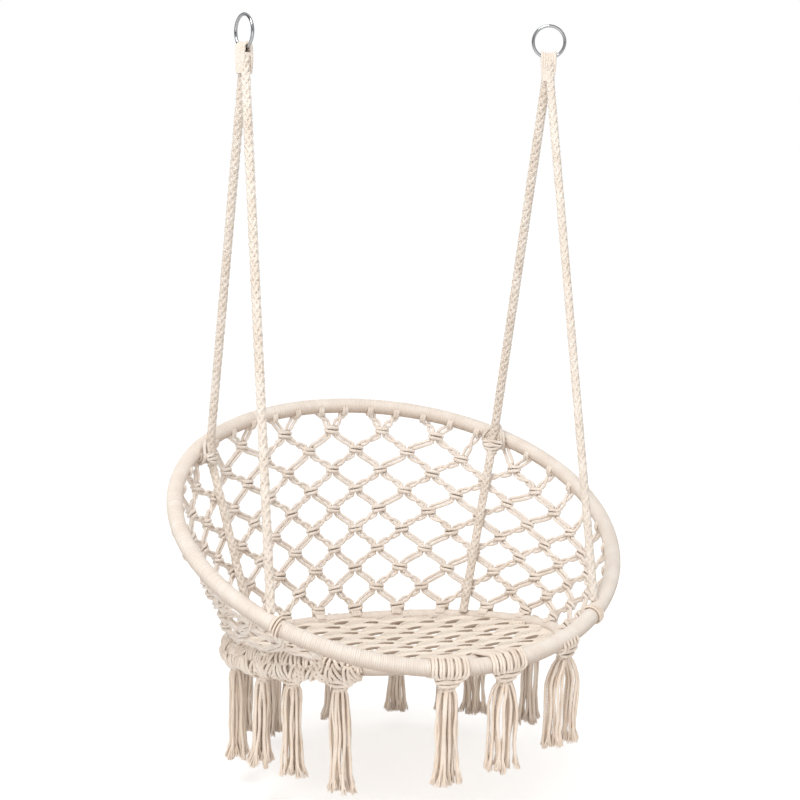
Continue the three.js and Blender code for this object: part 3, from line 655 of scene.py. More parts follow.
# %% Square knot
class Knot:
    """A place with sideways (u), upward (v) and inward (f) directions"""

    def __init__(self, place, u, v, f, kind="knot", degrees=0.0):
        self.place, self.u, self.v, self.f = place, u, v, f
        self.kind, self.degrees, self.ends = kind, degrees, {}

    def at(self, u, v, f):
        return self.place + self.u * u + self.v * v + self.f * f


net_random = random.Random(21)
TIE_JITTER = 0.09
GROUP_SIZES = (0.93, 1.07)
KNOT_ENDS = ((4.5, 6.0), (7.0, 4.0))
STRAIGHT = (2.1, 3.6)
TIE = [(-7.6, 3.8, 1.4), (-3.4, 3.4, 4.4), (3.4, 2.6, 4.4), (8.0, 1.8, 1.0),
       (8.0, -0.6, -2.0), (3.2, -1.9, -4.4), (-3.4, -3.0, -4.4), (-8.0, -3.6, -1.0)]


def square_knot(knot, scale, hand):
    """Four cords, in millimetres times the scale: two straight ones and two that are tied round them"""
    mm = scale / 1000
    jitter = [1 + net_random.uniform(-TIE_JITTER, TIE_JITTER) for _ in range(2)]
    straight, tied = [], []
    for name, side, face in (("left", -1, hand), ("right", 1, -hand)):
        above, below = [knot.ends.get(way + name) or
                        [knot.at(side * x * mm, up * y * mm, 0) for x, y in KNOT_ENDS]
                        for way, up in (("up", 1), ("down", -1))]
        through = [knot.at(side * STRAIGHT[0] * mm, up * STRAIGHT[1] * mm, 0) for up in (1, -1)]
        straight.append([above[0], *through, below[0]])
        tie = [knot.at(-side * x * mm * jitter[0], y * mm * jitter[1], face * z * mm) for x, y, z in TIE]
        tied.append([above[1], *tie, below[1]])
    return straight + tied


def knot_group(middle, u, v, f, rows, scale):
    """Square knots in rows, each row with its place up and out and its knots' places sideways"""
    cords = []
    for row, (up, out, sideways) in enumerate(rows):
        for k, x in enumerate(sideways):
            knot = Knot(middle + u * x + v * up + f * out, u, v, f)
            cords += square_knot(knot, scale * net_random.uniform(*GROUP_SIZES), 1 if (row + k) % 2 else -1)
    return cords


def sennit(points, facing, scale, apart, uneven):
    """Square knots in a row along a path, which make a flat knotted band; facing gives its upper side"""
    lengths = [0.0]
    for a, b in zip(points, points[1:]):
        lengths.append(lengths[-1] + (b - a).length)
    count = max(2, round(lengths[-1] / apart))
    cords = []
    for k in range(count):
        run = lengths[-1] * (k + 0.5) / count
        n = max(j for j in range(len(points) - 1) if lengths[j] <= run)
        way = points[n + 1] - points[n]
        spot = points[n] + way * ((run - lengths[n]) / way.length)
        v = -way.normalized()
        u = v.cross(facing(spot)).normalized()
        f = u.cross(v)
        v = (v + u * net_random.uniform(-6, 6) * uneven).normalized()
        knot = Knot(spot + f * net_random.uniform(-0.02, 0.02) * uneven, v.cross(f), v, f)
        cords += square_knot(knot, scale * (1 + net_random.uniform(-2, 2) * uneven), 1 if k % 2 else -1)
    return cords


# %% [markdown]
# Lashings
#
# Where a front rope meets the large hoop, a thin cord is tied round the hoop in two turns, which is a helix
# about the hoop's line. The rear ropes cross the hoop on its inner side: there their cords spread over the
# tube like a small fan and come together in a group of square knots below it. Both could be drawn as one
# lump, but their single cords are seen from the front. So the fan's cords are one list of places round the
# tube, used eight times, each a little further along the hoop than the last.

# %% Lashings
LASHING_TURNS = 2.2
LASHING_REACH = 0.0168
LASHING_PITCH = 0.0052
POINTS_A_TURN = 22
LASHING_SHIFT = 3.4
CROSSING_CORDS = 8
CROSSING_HALF = 0.023
CROSSING_ROUTE = ((1.95, 0.15, 0.0300), (2.15, 0.40, 0.0250), (2.4, 0.72, 0.0215), (2.9, 0.95, 0.0205),
                  (3.4, 1.00, 0.0200), (3.9, 0.85, 0.0200), (4.4, 0.65, 0.0185), (5.0, 0.60, 0.0150))
OVER_ROPE = 0.0085
CROSSING_KNOTS = ((-0.004, 0.004, (-0.010, 0.010)), (-0.012, 0.006, (-0.005, 0.005)), (-0.020, 0.005, (0.0,)))
CROSSING_DEPTH = 0.0235
CROSSING_SCALE = 1.15
CROSSING_SEEDS = {"left": 31, "right": 32}


def lashing_path(angle):
    """A helix about the large hoop's line"""
    path = []
    for k in range(round(LASHING_TURNS * POINTS_A_TURN) + 1):
        turns = k / POINTS_A_TURN
        at = angle + math.degrees((turns - LASHING_TURNS / 2) * LASHING_PITCH / back_hoop.radius)
        path.append(back_hoop.around(at, LASHING_REACH, 2 * math.pi * turns))
    return path


def crossing_cords(at, chance):
    """Cords that spread from a rear rope over the hoop's inner face, and the knots below it"""
    middle = (CROSSING_CORDS - 1) / 2
    cords = []
    for k in range(CROSSING_CORDS):
        share = (k - middle) / middle
        spread = math.degrees(CROSSING_HALF * share / back_hoop.radius)
        relief = 0.0022 * (k % 2) + chance.uniform(0, 0.001)
        path = []
        for a, wide, reach in CROSSING_ROUTE:
            over_rope = OVER_ROPE * max(0.0, 1 - abs(share) * 1.5) * (1 if 2.2 < a < 4.2 else 0.4)
            path.append(back_hoop.around(at + spread * wide, reach + (over_rope + relief), a))
        cords.append(path)
    u = UP.cross(-back_hoop.outward(at)).normalized()
    return cords + knot_group(back_hoop.at(at, -CROSSING_DEPTH), u, UP, u.cross(UP), CROSSING_KNOTS,
                              CROSSING_SCALE)


for side, sign in SIDES.items():
    name = f"lashing_front_{side}"
    lashing = lashing_path(sign * (FRONT_ROPE_ANGLES[side] - LASHING_SHIFT))
    cord_piece(f"{name}_cord", [lashing], "lashing", name, slot="loose_cord")
    name = f"lashing_rear_{side}"
    crossing = crossing_cords(sign * REAR_ROPE_ANGLES[side], random.Random(CROSSING_SEEDS[side]))
    cord_piece(f"{name}_knot", crossing, "crossing", name, slot="loose_cord")

# %% [markdown]
# Where the net's knots lie
#
# The back is one net, knotted from the large hoop down to the seat hoop. Its knots sit in rows, each half
# a mesh beside the row below, and where the hoops come closer together at the sides the rows run out one
# by one. The rule is the one that the CAD net follows, so each knot here sits on its CAD knot. Each strand
# is a pair of cords, and each knot is a square knot, so the first step is only a list of places.

# %% Net grid
NET_REAR_ROW = 0.038
NET_SIDE_ROW = 0.031
NET_COLUMN = 14.8
NET_COLUMN_GROWTH = 0.2
NET_TURN = -1.1
NET_LEAN = 3.5
NET_COLUMNS_EACH_WAY = 17
NET_RIM_ROW = 0.0205
NET_TOP_MARGIN = 0.033
FOOT_SHARE = 0.6
HITCH_SHARE = 0.8


def net_column(c):
    return 180 + NET_TURN + c * (NET_COLUMN + NET_COLUMN_GROWTH * abs(c)) / 2


def net_row(c, r):
    rear = math.cos(math.radians(net_column(c))) ** 2
    return NET_RIM_ROW + r * (NET_SIDE_ROW + (NET_REAR_ROW - NET_SIDE_ROW) * rear)


def net_height(degrees):
    return (back_hoop.at(degrees) - seat_hoop.at(degrees)).length


def net_angle(c, height):
    column = net_column(c)
    depth = 1 - min(1.0, height / net_height(column))
    return column + NET_LEAN * depth * math.cos(math.radians(column)) ** 2


def net_point(degrees, height):
    return seat_hoop.at(degrees).lerp(back_hoop.at(degrees), height / net_height(degrees))


def net_knot(degrees, height, kind="knot"):
    """A crossing of the net, which faces into the chair"""
    v = (back_hoop.at(degrees) - seat_hoop.at(degrees)).normalized()
    beside = net_point(degrees + 1, height) - net_point(degrees - 1, height)
    outward = beside.cross(v).normalized()
    return Knot(net_point(degrees, height), v.cross(outward), v, -outward, kind, degrees)


knots, links = [], []
by_place = {}
for c in range(-NET_COLUMNS_EACH_WAY, NET_COLUMNS_EACH_WAY + 1):
    top = net_height(net_column(c)) - NET_TOP_MARGIN
    r = 0
    while net_row(c, r) <= top:
        if (c + r) % 2:
            by_place[c, r] = net_knot(net_angle(c, net_row(c, r)), net_row(c, r))
        r += 1
for (c, r), knot in sorted(by_place.items()):
    if r == 0 and (c - 1, 1) not in by_place and (c + 1, 1) not in by_place:
        continue
    knots.append(knot)
    if r == 0:
        foot = net_knot(net_angle(c, 0.0), SEAT_WOUND * FOOT_SHARE, "foot")
        knots.append(foot)
        links.append((foot, knot))
    for way in (-1, 1):
        upper = by_place.get((c + way, r + 1))
        if upper:
            links.append((knot, upper))
        elif abs(c + way) <= NET_COLUMNS_EACH_WAY:
            degrees = net_column(c + way / 2)
            hitch = net_knot(degrees, net_height(degrees) - BACK_WOUND * HITCH_SHARE, "hitch")
            knots.append(hitch)
            links.append((knot, hitch))
print("knots", sum(k.kind == "knot" for k in knots), "hitches", sum(k.kind == "hitch" for k in knots),
      "feet", sum(k.kind == "foot" for k in knots), "strands", len(links))

# %% [markdown]
# Strands and square knots
#
# Two cords run side by side in each strand, and in about half of the strands they change sides on the way.
# At a crossing all four cords of the two strands below meet the four above. One long cord for each path
# through the net would be true to the making, but hard to follow in code, so each strand and each knot has
# short cords of its own, and a strand's cords start where the knot's cords end.

# %% Net cords
CORD_APART = 0.0034
KNOT_CORNERS = ((0.0040, 0.0102), (0.0104, 0.0072))
FOOT_CORNERS = ((0.0027, -0.0112), (-0.0027, -0.0112))
CROSSED_CHANCE = 0.55
BOW = 0.0012
PAIR_DEPTH = 0.0022
STRAND_SHARES = (0.22, 0.36, 0.5, 0.64, 0.78)
CROSSING_START, CROSSING_SPAN = 0.29, 0.42


def strand_end(knot, other, side):
    """Where the two cords of a strand leave its knot, hitch or foot"""
    if knot.kind != "knot":
        return [knot.place + side * CORD_APART, knot.place - side * CORD_APART]
    way = other.place - knot.place
    flat = Vector((way.dot(knot.u), way.dot(knot.v))).normalized()
    if abs(flat.x) < 0.2:
        pair = [knot.at(x, y, 0.0) for x, y in FOOT_CORNERS]
    else:
        pair = [knot.at(math.copysign(x, flat.x), math.copysign(y, flat.y), 0.0) for x, y in KNOT_CORNERS]
    if other.kind != "foot":
        knot.ends[("up" if flat.y > 0 else "down") + ("right" if flat.x > 0 else "left")] = pair
    return pair


def strand_pair(low, high):
    """The two cords of a strand; both ends are first put in the same order across it"""
    face = (low.f + high.f).normalized()
    side = (high.place - low.place).normalized().cross(face)
    near, far = strand_end(low, high, side), strand_end(high, low, side)
    near.sort(key=lambda e: (e - low.place).dot(side))
    far.sort(key=lambda e: (e - high.place).dot(side))
    crossed = net_random.random() < CROSSED_CHANCE
    bow = net_random.uniform(-BOW, BOW)
    start, stop = (near[0] + near[1]) / 2, (far[0] + far[1]) / 2
    wide = CORD_APART * (1.0 if high.kind == "knot" == low.kind else 1.25)
    paths = []
    for sign, a, b in zip((-1, 1), near, far[::-1] if crossed else far):
        path = [a]
        for share in STRAND_SHARES:
            turn = math.pi * min(1.0, max(0.0, (share - CROSSING_START) / CROSSING_SPAN)) if crossed else 0.0
            bulge = wide * (1.1 if share in (STRAND_SHARES[0], STRAND_SHARES[-1]) else 1.0)
            aside = sign * bulge * math.cos(turn) + bow * math.sin(math.pi * share)
            path.append(start.lerp(stop, share) + side * aside + face * sign * PAIR_DEPTH * math.sin(turn))
        paths.append(path + [b])
    return paths


# %% Turns of cord on a hoop
# How far the turns stand out, how far apart they are, how many there are, and their span in degrees
HITCH_TURNS = (0.0036, 0.0052, 2, 150)
FOOT_TURNS = (0.0030, 0.0044, 4, 130)
HITCH_BAR = (-0.006, -0.003, 0.0, 0.003, 0.006)
TURN_POINTS = 15
TURN_DIVE = 0.002
NET_KNOT_SCALE = 1.38


def hitch_turns(hoop, degrees, toward, reach, spread, count, span):
    """Turns of cord on one side of a hoop, that dive under its winding at both ends"""
    middle = math.atan2(toward.dot(hoop.across()), toward.dot(hoop.outward(degrees)))
    paths = []
    for k in range(count):
        at = degrees + math.degrees((k - (count - 1) / 2) * spread / hoop.radius)
        path = []
        for share in (j / (TURN_POINTS - 1) for j in range(TURN_POINTS)):
            wide = hoop.wound + reach * min(1.0, 1.35 * math.sin(math.pi * share)) - TURN_DIVE
            path.append(hoop.around(at, wide, middle + math.radians(span * (share - 0.5))))
        paths.append(path)
    return paths


strand_paths = [path for low, high in links for path in strand_pair(low, high)]
knot_paths, hitch_paths = [], []
for knot in knots:
    if knot.kind == "knot":
        knot_paths += square_knot(knot, NET_KNOT_SCALE, net_random.choice((-1, 1)))
    elif knot.kind == "hitch":
        hitch_paths += hitch_turns(back_hoop, knot.degrees, -knot.v, *HITCH_TURNS)
        away = -knot.v * 0.001 + knot.f * 0.0035
        hitch_paths.append([knot.place + away + knot.u * d for d in HITCH_BAR])
    else:
        hitch_paths += hitch_turns(seat_hoop, knot.degrees, knot.v, *FOOT_TURNS)
cord_piece("net_strands", strand_paths, "net", "back_net")
cord_piece("net_knots", knot_paths, "net", "back_net", Step=0.0034)
cord_piece("net_hitches", hitch_paths, "net", "back_net", Step=0.003)

# %% [markdown]
# The seat
#
# The seat is knotted so closely that only small openings remain, which read as rows of short dark dashes.
# It is a lattice of broad bands that cross each other, six cords to a band. Each band is a set of parallel
# paths that rise and dip at the crossings, over one band and under the next, and the whole sheet sags a
# little between the hoop's sides. A painted sheet would have no depth in its openings. Along the edges of
# each opening lie two short thin cords of a darker cotton, which stand for the shade inside it.

# %% Seat lattice
SEAT_SAG = 0.010
CELL_WIDTH, CELL_DEPTH = 0.083, 0.064
CELL_TURN = math.radians(9.5)
CELL_MIDDLE = Vector((0.028, -0.007))
HOLE_WIDTH, HOLE_DEPTH = 0.030, 0.021
SEAT_EDGE = SEAT_RADIUS - SEAT_WOUND
BAND_CORDS = 6
BANDS_EACH_WAY = 8
BAND_MARGIN = 0.004
BAND_CORD_MARGIN = 0.003
BAND_TUCK = 0.004
BAND_STEP = 0.0085
BAND_RISE = 0.0015
BAND_WIGGLE = 0.0007


def seat_point(x, y, lift):
    """A point of the sagging seat, from the place in the hoop's plane"""
    sag = SEAT_SAG * ((x * x + y * y) / SEAT_EDGE ** 2 - 1)
    return seat_hoop.middle + seat_hoop.turn @ Vector((x, y, sag + lift))


def cell_point(across, down):
    turned = Matrix.Rotation(CELL_TURN, 2) @ Vector((across * CELL_WIDTH / 2, down * CELL_DEPTH / 2))
    return CELL_MIDDLE + turned


def band_cord(n, k, shift, along, side, sign):
    """One cord across the seat, which rises and dips where the bands of the other family cross it"""
    half = math.sqrt(SEAT_EDGE ** 2 - shift ** 2) + BAND_TUCK
    count = max(4, round(2 * half / BAND_STEP))
    path = []
    for j in range(count + 1):
        run = -half + 2 * half * j / count
        spot = along * run + side * shift
        local = Matrix.Rotation(-CELL_TURN, 2) @ (spot - CELL_MIDDLE)
        line = local.x / (CELL_WIDTH / 2) + sign * local.y / (CELL_DEPTH / 2)
        phase = math.pi * (line / 2 + (n if sign == 1 else -n - 1))
        wiggle = BAND_WIGGLE * math.sin(run * 420 + k * 2.1 + n)
        path.append(seat_point(*(spot + side * wiggle), BAND_RISE * sign * math.cos(phase)))
    return path


def band_paths(sign):
    """All the cords of one family of bands; the two families run across each other"""
    middle = cell_point(0, 0)
    along = (cell_point(1, sign) - middle).normalized()
    side = Vector((-along.y, along.x))
    gap = abs(side.dot(cell_point(1, -sign) - middle))
    width = gap - HOLE_WIDTH * HOLE_DEPTH / math.hypot(HOLE_WIDTH, HOLE_DEPTH)
    cords = []
    for n in range(-BANDS_EACH_WAY, BANDS_EACH_WAY + 1):
        offset = (cell_point(1, 0) + side * gap * n).dot(side)
        if abs(offset) > SEAT_EDGE - BAND_MARGIN:
            continue
        for k in range(BAND_CORDS):
            shift = offset + (k - (BAND_CORDS - 1) / 2) * width / BAND_CORDS
            if abs(shift) <= SEAT_EDGE - BAND_CORD_MARGIN:
                cords.append(band_cord(n, k, shift, along, side, sign))
    return cords


for number, sign in ((1, 1), (2, -1)):
    cord_piece(f"seat_web_bands_{number}", band_paths(sign), "band", "seat_web")

# %% Seat openings
OPENING_SEED = 7
CELLS_ACROSS, CELLS_DOWN = 9, 11
OPENING_MARGIN = 0.016
OPENING_HALF, OPENING_MORE = 0.0155, 0.0030
GAPES = (0.0029, 0.0042)
EDGE_SHARES = (-1.0, -0.7, -0.35, 0.0, 0.35, 0.7, 1.0)
seat_random = random.Random(OPENING_SEED)
cell_turn = Matrix.Rotation(CELL_TURN, 2)
# Painted shade: thin cords of the dark shaded cotton along each opening's edges stand for the shade inside it
edges = []
for i in range(-CELLS_ACROSS, CELLS_ACROSS + 1):
    for j in range(-CELLS_DOWN, CELLS_DOWN + 1):
        centre = cell_point(i, j)
        if (i + j) % 2 or centre.length > SEAT_EDGE - OPENING_MARGIN:
            continue
        half = OPENING_HALF + OPENING_MORE * seat_random.random()
        for sign in (-1, 1):
            line = []
            for share in EDGE_SHARES:
                aside = sign * (GAPES[j % 2] * (1 - abs(share) ** 1.8) + 0.0004)
                flat = centre + cell_turn @ Vector((half * share, aside))
                line.append(seat_point(*flat, 0.0026 - 0.001 * share * share))
            edges.append(line)
cord_piece("seat_web_openings", edges, "opening")
print("openings", len(edges) // 2)

# %% [markdown]
# Tassels
#
# Fourteen tassels hang under the two hoops. Each has fourteen loose cords that leave one knot, hang almost
# straight, and spread at their cut ends, where the plies come undone into a brush of fibres. No two are
# alike. Hair or a cloth simulation could hang them; here each cord gets its own small sway from a seeded
# random number, which gives the same tassels at every run. Every tassel swings by itself, so its cords ride
# on its own body, and the knotted bands that hold it ride on the chair.

# %% Tassel places
TASSEL_DROP = 0.030
TASSEL_LENGTH = 0.152
SEAT_TASSELS = [(-59, 1.02), (-74, 0.96), (-100, 1.02), (-127, 0.91), (-150, 1.08), (-177, 1.07),
                (159, 1.02), (140, 1.03), (127.5, 1.05), (99, 1.05), (-41, 1.15)]
FRONT_TASSELS = [(-7, 1.05), (7.8, 0.95), (27, 0.99)]


class Tassel:
    """Where a tassel hangs: its hoop, its place along it, and its directions along and out"""

    def __init__(self, number, hoop, angle, length_share):
        self.number = number
        self.name = f"tassel_{number:02d}"
        self.gather = f"gather_{number:02d}"
        self.hoop, self.angle, self.length = hoop, angle, TASSEL_LENGTH * length_share
        self.pivot = hoop.at(angle) - UP * TASSEL_DROP
        along = hoop.at(angle + 1) - hoop.at(angle - 1)
        self.along = Vector((along.x, along.y, 0)).normalized()
        self.out = Vector((self.along.y, -self.along.x, 0))
        self.random = random.Random(100 + number)

    def at(self, along, out, up):
        return self.pivot + self.along * along + self.out * out + UP * up


seat_tassels = [Tassel(k, seat_hoop, *facts) for k, facts in enumerate(SEAT_TASSELS, 1)]
first_front = len(seat_tassels) + 1
front_tassels = [Tassel(k, back_hoop, *facts) for k, facts in enumerate(FRONT_TASSELS, first_front)]
print("tassels", len(seat_tassels), "and", len(front_tassels))

# %% Loose cords and their cut ends
TASSEL_CORDS = 14
TASSEL_REACH = 0.0150
CUT_LENGTH = 0.006
SPLITS = {3: 0.006, 5: 0.004, 9: 0.005, 13: 0.007, 14: 0.017}
WIDTH_SHARES = [(0.0, 0.3), (0.05, 0.66), (0.12, 0.86), (0.3, 1.0), (0.5, 1.0), (0.7, 1.0), (0.87, 1.1),
                (1.0, 1.3)]
SWAY = 0.003
SWIRL = 0.35
FIBRES = 18


def tassel_cord(tassel, k, lean):
    """A loose cord that leaves the knot, bends a little and leans with its tassel"""
    chance = tassel.random
    a = 2 * math.pi * (k + chance.uniform(-0.3, 0.3)) / TASSEL_CORDS
    reach = TASSEL_REACH * (chance.uniform(0.8, 1.0) if k % 3 else chance.uniform(0.15, 0.5))
    sway = [chance.uniform(-SWAY, SWAY) for _ in range(4)]
    split = SPLITS.get(tassel.number, 0.0) * (1 if math.cos(a) > 0 else -1)
    length = tassel.length * chance.uniform(0.93, 1.0) - CUT_LENGTH
    swirl = chance.uniform(-SWIRL, SWIRL)
    path = []
    for share, wide in WIDTH_SHARES:
        turn = a + swirl * share
        wave = math.pi * share
        bend = math.sin(wave) * sway[0] + math.sin(3 * wave) * sway[1] * 0.8
        bend += split * min(1.0, share * 4.5) * (1.0 - 0.35 * max(0.0, share - 0.4))
        deep_bend = math.sin(wave) * sway[2] + math.sin(4 * wave) * sway[3] * 0.6
        path.append(tassel.at(reach * wide * math.cos(turn) * 1.1 + lean[0] * share + bend,
                              reach * wide * math.sin(turn) * 0.9 + lean[1] * share + deep_bend,
                              0.002 - (length + 0.004) * share))
    return path


def cut_end(before, tip, chance):
    """The fibres that spread from the cut end of a cord"""
    down = (tip - before).normalized()
    fibres = []
    for _ in range(FIBRES):
        spread = Vector([chance.uniform(-1, 1) for _ in range(3)])
        spread = (spread - down * spread.dot(down)).normalized() * chance.uniform(0.35, 1.0)
        long = chance.uniform(0.005, 0.011)
        wide = chance.uniform(0.0050, 0.0068)
        fibres.append([tip - down * 0.010 + spread * 0.0016, tip - down * 0.003 + spread * 0.0038,
                       tip + down * long * 0.5 + spread * 0.0052, tip + down * long + spread * wide])
    return fibres


for tassel in seat_tassels + front_tassels:
    lean = (tassel.random.uniform(-0.005, 0.005), tassel.random.uniform(-0.004, 0.004))
    cords, fibres = [], []
    for k in range(TASSEL_CORDS):
        cords.append(tassel_cord(tassel, k, lean))
        fibres += cut_end(*cords[-1][-2:], tassel.random)
    own = {"body": tassel.name, "slot": "loose_cord"}
    cord_piece(f"{tassel.name}_cords", cords, "tassel", tassel.name, **own)
    cord_piece(f"{tassel.name}_ends", fibres, "fibre", **own)

# %% [markdown]
# Swags and ties above the tassels
#
# Two knotted bands come down from the seat hoop to each tassel and meet in its group of knots, so that a row
# of swags hangs under the rim, and rows of the same knots cover the hoop's outer side. A band is square
# knots in a line, each a little askew, and one function sets them along any path, where knots placed one by
# one would be a long list. At the front the cords come from the seat over both hoops, lie side by side on
# the large one, and draw together into the tassel's knots below it. Those are separate cords, because each
# loop is seen by itself there. The last front tassel hangs from short cords on the large hoop's outer side.

# %% Swags
ARM_SPREAD = 0.033
ARM_REACH = 0.008
ARM_SHARES = (0.3, 0.6, 0.85)
RIM_REACH = 0.0042
RIM_STEP = 2.0
BUNDLE_KNOTS = ((0.014, 0.006, (-0.0135, 0.0, 0.0135)), (0.006, 0.005, (-0.0068, 0.0068)),
                (-0.002, 0.002, (0.0,)))
BUNDLE_SCALE = 1.12
BACK_KNOT = ((0.003, 0.003, (0.0,)),)
BACK_KNOT_SCALE = 1.5
# The size of a band's knots, how far apart they sit, and how uneven they are
RIM_BAND = (1.55, 0.0160, 0.10)
SWAG_BAND = (1.25, 0.0118, 0.05)
RIM_ROWS = (("left", -33, -196, -0.40), ("left_upper", -33, -112, 0.80), ("right", 88, 158, -0.40))


def arm_path(tassel, side):
    """From the seat hoop's outer side down to the tassel's knot"""
    hoop = tassel.hoop
    start = hoop.at(tassel.angle + side * math.degrees(ARM_SPREAD / hoop.radius), hoop.wound + ARM_REACH)
    knot = tassel.at(side * 0.010, 0.003, 0.010)
    path = [start]
    for share in ARM_SHARES:
        path.append(start.lerp(knot, share) + tassel.out * 0.004 * math.sin(math.pi * share))
    return path + [knot]


def knot_bundle(tassel):
    """The knots above a tassel, three side by side, then two, then one, and a larger one behind"""
    cords = knot_group(tassel.pivot, tassel.along, UP, tassel.out, BUNDLE_KNOTS, BUNDLE_SCALE)
    return cords + knot_group(tassel.pivot, tassel.along, UP, -tassel.out, BACK_KNOT, BACK_KNOT_SCALE)


def rim_line(start, end, a):
    """Along the seat hoop's outer side, at angle a round its section"""
    count = round(abs(end - start) / RIM_STEP)
    return [seat_hoop.around(start + (end - start) * k / count, SEAT_WOUND + RIM_REACH, a)
            for k in range(count + 1)]


def from_hoop(spot):
    """Away from the line of the seat hoop"""
    local = seat_hoop.turn.inverted() @ (spot - seat_hoop.middle)
    flat = Vector((local.x, local.y, 0)).normalized() * SEAT_RADIUS
    return (seat_hoop.turn @ (local - flat)).normalized()


for name, start, end, a in RIM_ROWS:
    cord_piece(f"seat_rim_{name}", sennit(rim_line(start, end, a), from_hoop, *RIM_BAND), "rim")
for tassel in seat_tassels:
    bands = []
    for side in (-1, 1):
        bands += sennit(arm_path(tassel, side), lambda spot: tassel.out, *SWAG_BAND)
    cord_piece(f"{tassel.gather}_swags", bands, "swag", tassel.gather)
    cord_piece(f"{tassel.gather}_knot", knot_bundle(tassel), "bundle")

# %% Front ties
TIE_SHARES = (-1.0, -0.83, -0.58, -0.41, -0.11, 0.06, 0.36, 0.53, 0.83, 1.0)
BACK_SHARES = (-0.8, -0.3, 0.3, 0.8)
SHORT_SHARES = (-1.0, -0.5, 0.0, 0.5, 1.0)
FAN_HALF = 0.028
BACK_HALF = 0.022
SHORT_HALF = 0.016
PAIR_STEP = 0.0020


def seat_angle(x, narrow):
    """The place on the seat hoop behind a place x on the large one, drawn in a little"""
    return math.degrees(math.asin(x * narrow / SEAT_RADIUS))


def tie_path(tassel, k, share):
    """From the seat over both hoops to the knot below; every second cord lies a little further out"""
    big = tassel.hoop
    spread = math.degrees(FAN_HALF * share / big.radius)
    at = tassel.angle + spread
    rear = seat_angle(big.at(at).x, 0.9)
    reach = big.wound + 0.0002 + tassel.random.uniform(0, 0.0009)
    step = PAIR_STEP * (k % 2)
    path = [seat_hoop.at(rear, out, across)
            for out, across in ((-0.03, -0.002), (-0.014, 0.0085), (0.0, SEAT_WOUND + 0.0015))]
    path += [big.around(at, reach, a) for a in (2.0, 1.5, 1.0, 0.5)]
    path += [big.around(at + spread * wide, reach + step, a)
             for a, wide in ((0.1, 0.0), (-0.3, -0.12), (-0.7, -0.34))]
    knot = tassel.at(0.016 * share, 0.006 + step, 0.012)
    return path + [path[-1].lerp(knot, 0.6), knot, tassel.at(0.010 * share, 0.004 + step, 0.003)]


def back_path(tassel, share):
    """From the knot up behind the large hoop to the seat hoop"""
    rear = seat_angle(tassel.hoop.at(tassel.angle).x + BACK_HALF * share, 0.95)
    return [tassel.at(0.006 * share, -0.003, 0.003), tassel.at(0.012 * share, -0.012, 0.012),
            seat_hoop.at(rear, 0.008, -SEAT_WOUND - 0.002), seat_hoop.at(rear, -0.008, -SEAT_WOUND - 0.001),
            seat_hoop.at(rear, -0.022, -0.006)]


def short_tie(tassel, share):
    """A cord from the underside of the hoop straight down into the tassel"""
    hoop = tassel.hoop
    at = tassel.angle + math.degrees(SHORT_HALF * share / hoop.radius)
    path = [hoop.around(at, hoop.wound + off, a)
            for a, off in ((0.5, -0.003), (0.0, 0.0015), (-0.6, 0.003), (-1.2, 0.004))]
    return path + [tassel.at(0.011 * share, 0.003, 0.004), tassel.at(0.009 * share, 0.002, -0.004)]


for tassel in front_tassels:
    if tassel is front_tassels[-1]:
        ties = [short_tie(tassel, share) for share in SHORT_SHARES]
    else:
        ties = [tie_path(tassel, k, share) for k, share in enumerate(TIE_SHARES)]
        ties += [back_path(tassel, share) for share in BACK_SHARES]
    cord_piece(f"{tassel.gather}_fan", ties + knot_bundle(tassel), "fan", tassel.gather)

# %% [markdown]
# Floor, light and background
#
# The photograph is a bright product picture on white: wide soft light from above and in front, a weaker one
# from low in front, pale shade under the hoops, and only a breath of shadow on the floor. Small hard lamps
# would draw black shadows through the net, so large area lamps make the soft light. The white background is
# seen by the camera. To the bright steel it shows broad pale and dark bands, as a studio's screens would,
# and to the cotton a dimmer even air, so that it doesn't wash it out.

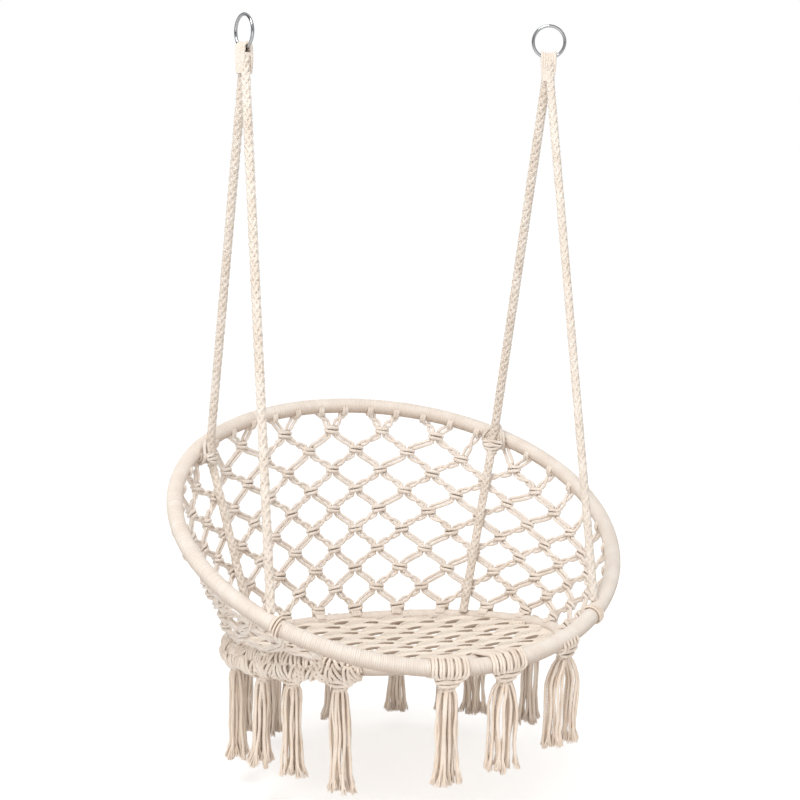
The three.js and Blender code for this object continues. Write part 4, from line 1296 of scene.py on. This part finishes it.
# %% Floor
FLOOR_LEVEL = -1.318
FLOOR_HALF = 40
FLOOR_TONE = (0.892, 0.9, 0.91, 1.0)
FLOOR_GLOW = 0.45
WHITE = (1.0, 1.0, 1.0, 1.0)
floor_mesh = bpy.data.meshes.new("floor")
floor_mesh.from_pydata([(x * FLOOR_HALF, y * FLOOR_HALF, FLOOR_LEVEL)
                        for x, y in ((-1, -1), (1, -1), (1, 1), (-1, 1))], [], [(0, 1, 2, 3)])
floor_paint, floor_tree, floor_shader = new_material("Floor paint")
seen = node(floor_tree, "ShaderNodeLightPath").outputs["Is Camera Ray"]
wire(floor_tree, floor_shader, Base_Color=FLOOR_TONE, Roughness=0.9, Specular_IOR_Level=0.0,
     Emission_Color=WHITE, Emission_Strength=maths(floor_tree, "MULTIPLY", seen, FLOOR_GLOW))
floor_mesh.materials.append(floor_paint)
floor = add_object("floor", floor_mesh)
print("floor at", FLOOR_LEVEL)

# %% Studio air
AIR_TONE = (1.0, 0.985, 0.965, 1.0)
AIR_STRENGTH = 0.67
SCREEN_EDGE = (0.42, 0.62)
DARK_SCREEN = 0.06
world = bpy.data.worlds.new("Studio")
bpy.context.scene.world = world
world.use_nodes = True
air = world.node_tree
for old in list(air.nodes):
    air.nodes.remove(old)
ray = node(air, "ShaderNodeLightPath").outputs
larger = partial(maths, air, "MAXIMUM")
seen_through = larger(ray["Is Camera Ray"], ray["Is Transmission Ray"])
where = node(air, "ShaderNodeTexCoord").outputs["Generated"]
screens = node(air, "ShaderNodeTexWave", {"bands_direction": "DIAGONAL"}, Vector=where, Scale=0.55,
               Distortion=1.5, Detail=0.0).outputs["Fac"]
soft = node(air, "ShaderNodeBackground", Color=AIR_TONE, Strength=AIR_STRENGTH)
white = node(air, "ShaderNodeBackground", Color=WHITE,
             Strength=larger(remap(air, screens, *SCREEN_EDGE, DARK_SCREEN, 1.0), seen_through))
both = node(air, "ShaderNodeMixShader", Fac=larger(seen_through, ray["Is Glossy Ray"]))
feed(air, both.inputs[1], soft.outputs[0])
feed(air, both.inputs[2], white.outputs[0])
node(air, "ShaderNodeOutputWorld", Surface=both.outputs[0])
print(world.name, len(air.nodes), "nodes")

# %% Lamps
LAMP_TONE = (1.0, 0.98, 0.95)
# The place of each lamp, what it aims at, its size and its power
KEY = ((-1.6, -1.6, 2.6), (0, 0, -0.9), 2.0, 82)
FILL = ((-1.5, -2.8, -0.8), (0, 0, -1.1), 2.2, 14)


def lamp(name, spot, aim, size, power):
    data = bpy.data.lights.new(name, "AREA")
    data.shape = "DISK"
    data.size = size
    data.energy = power
    data.color = LAMP_TONE
    made = add_object(name, data)
    made.location = spot
    made.rotation_euler = (Vector(aim) - Vector(spot)).to_track_quat("-Z", "Y").to_euler()


lamp("Key", *KEY)
lamp("Fill", *FILL)
bpy.context.scene.view_settings.view_transform = "Standard"
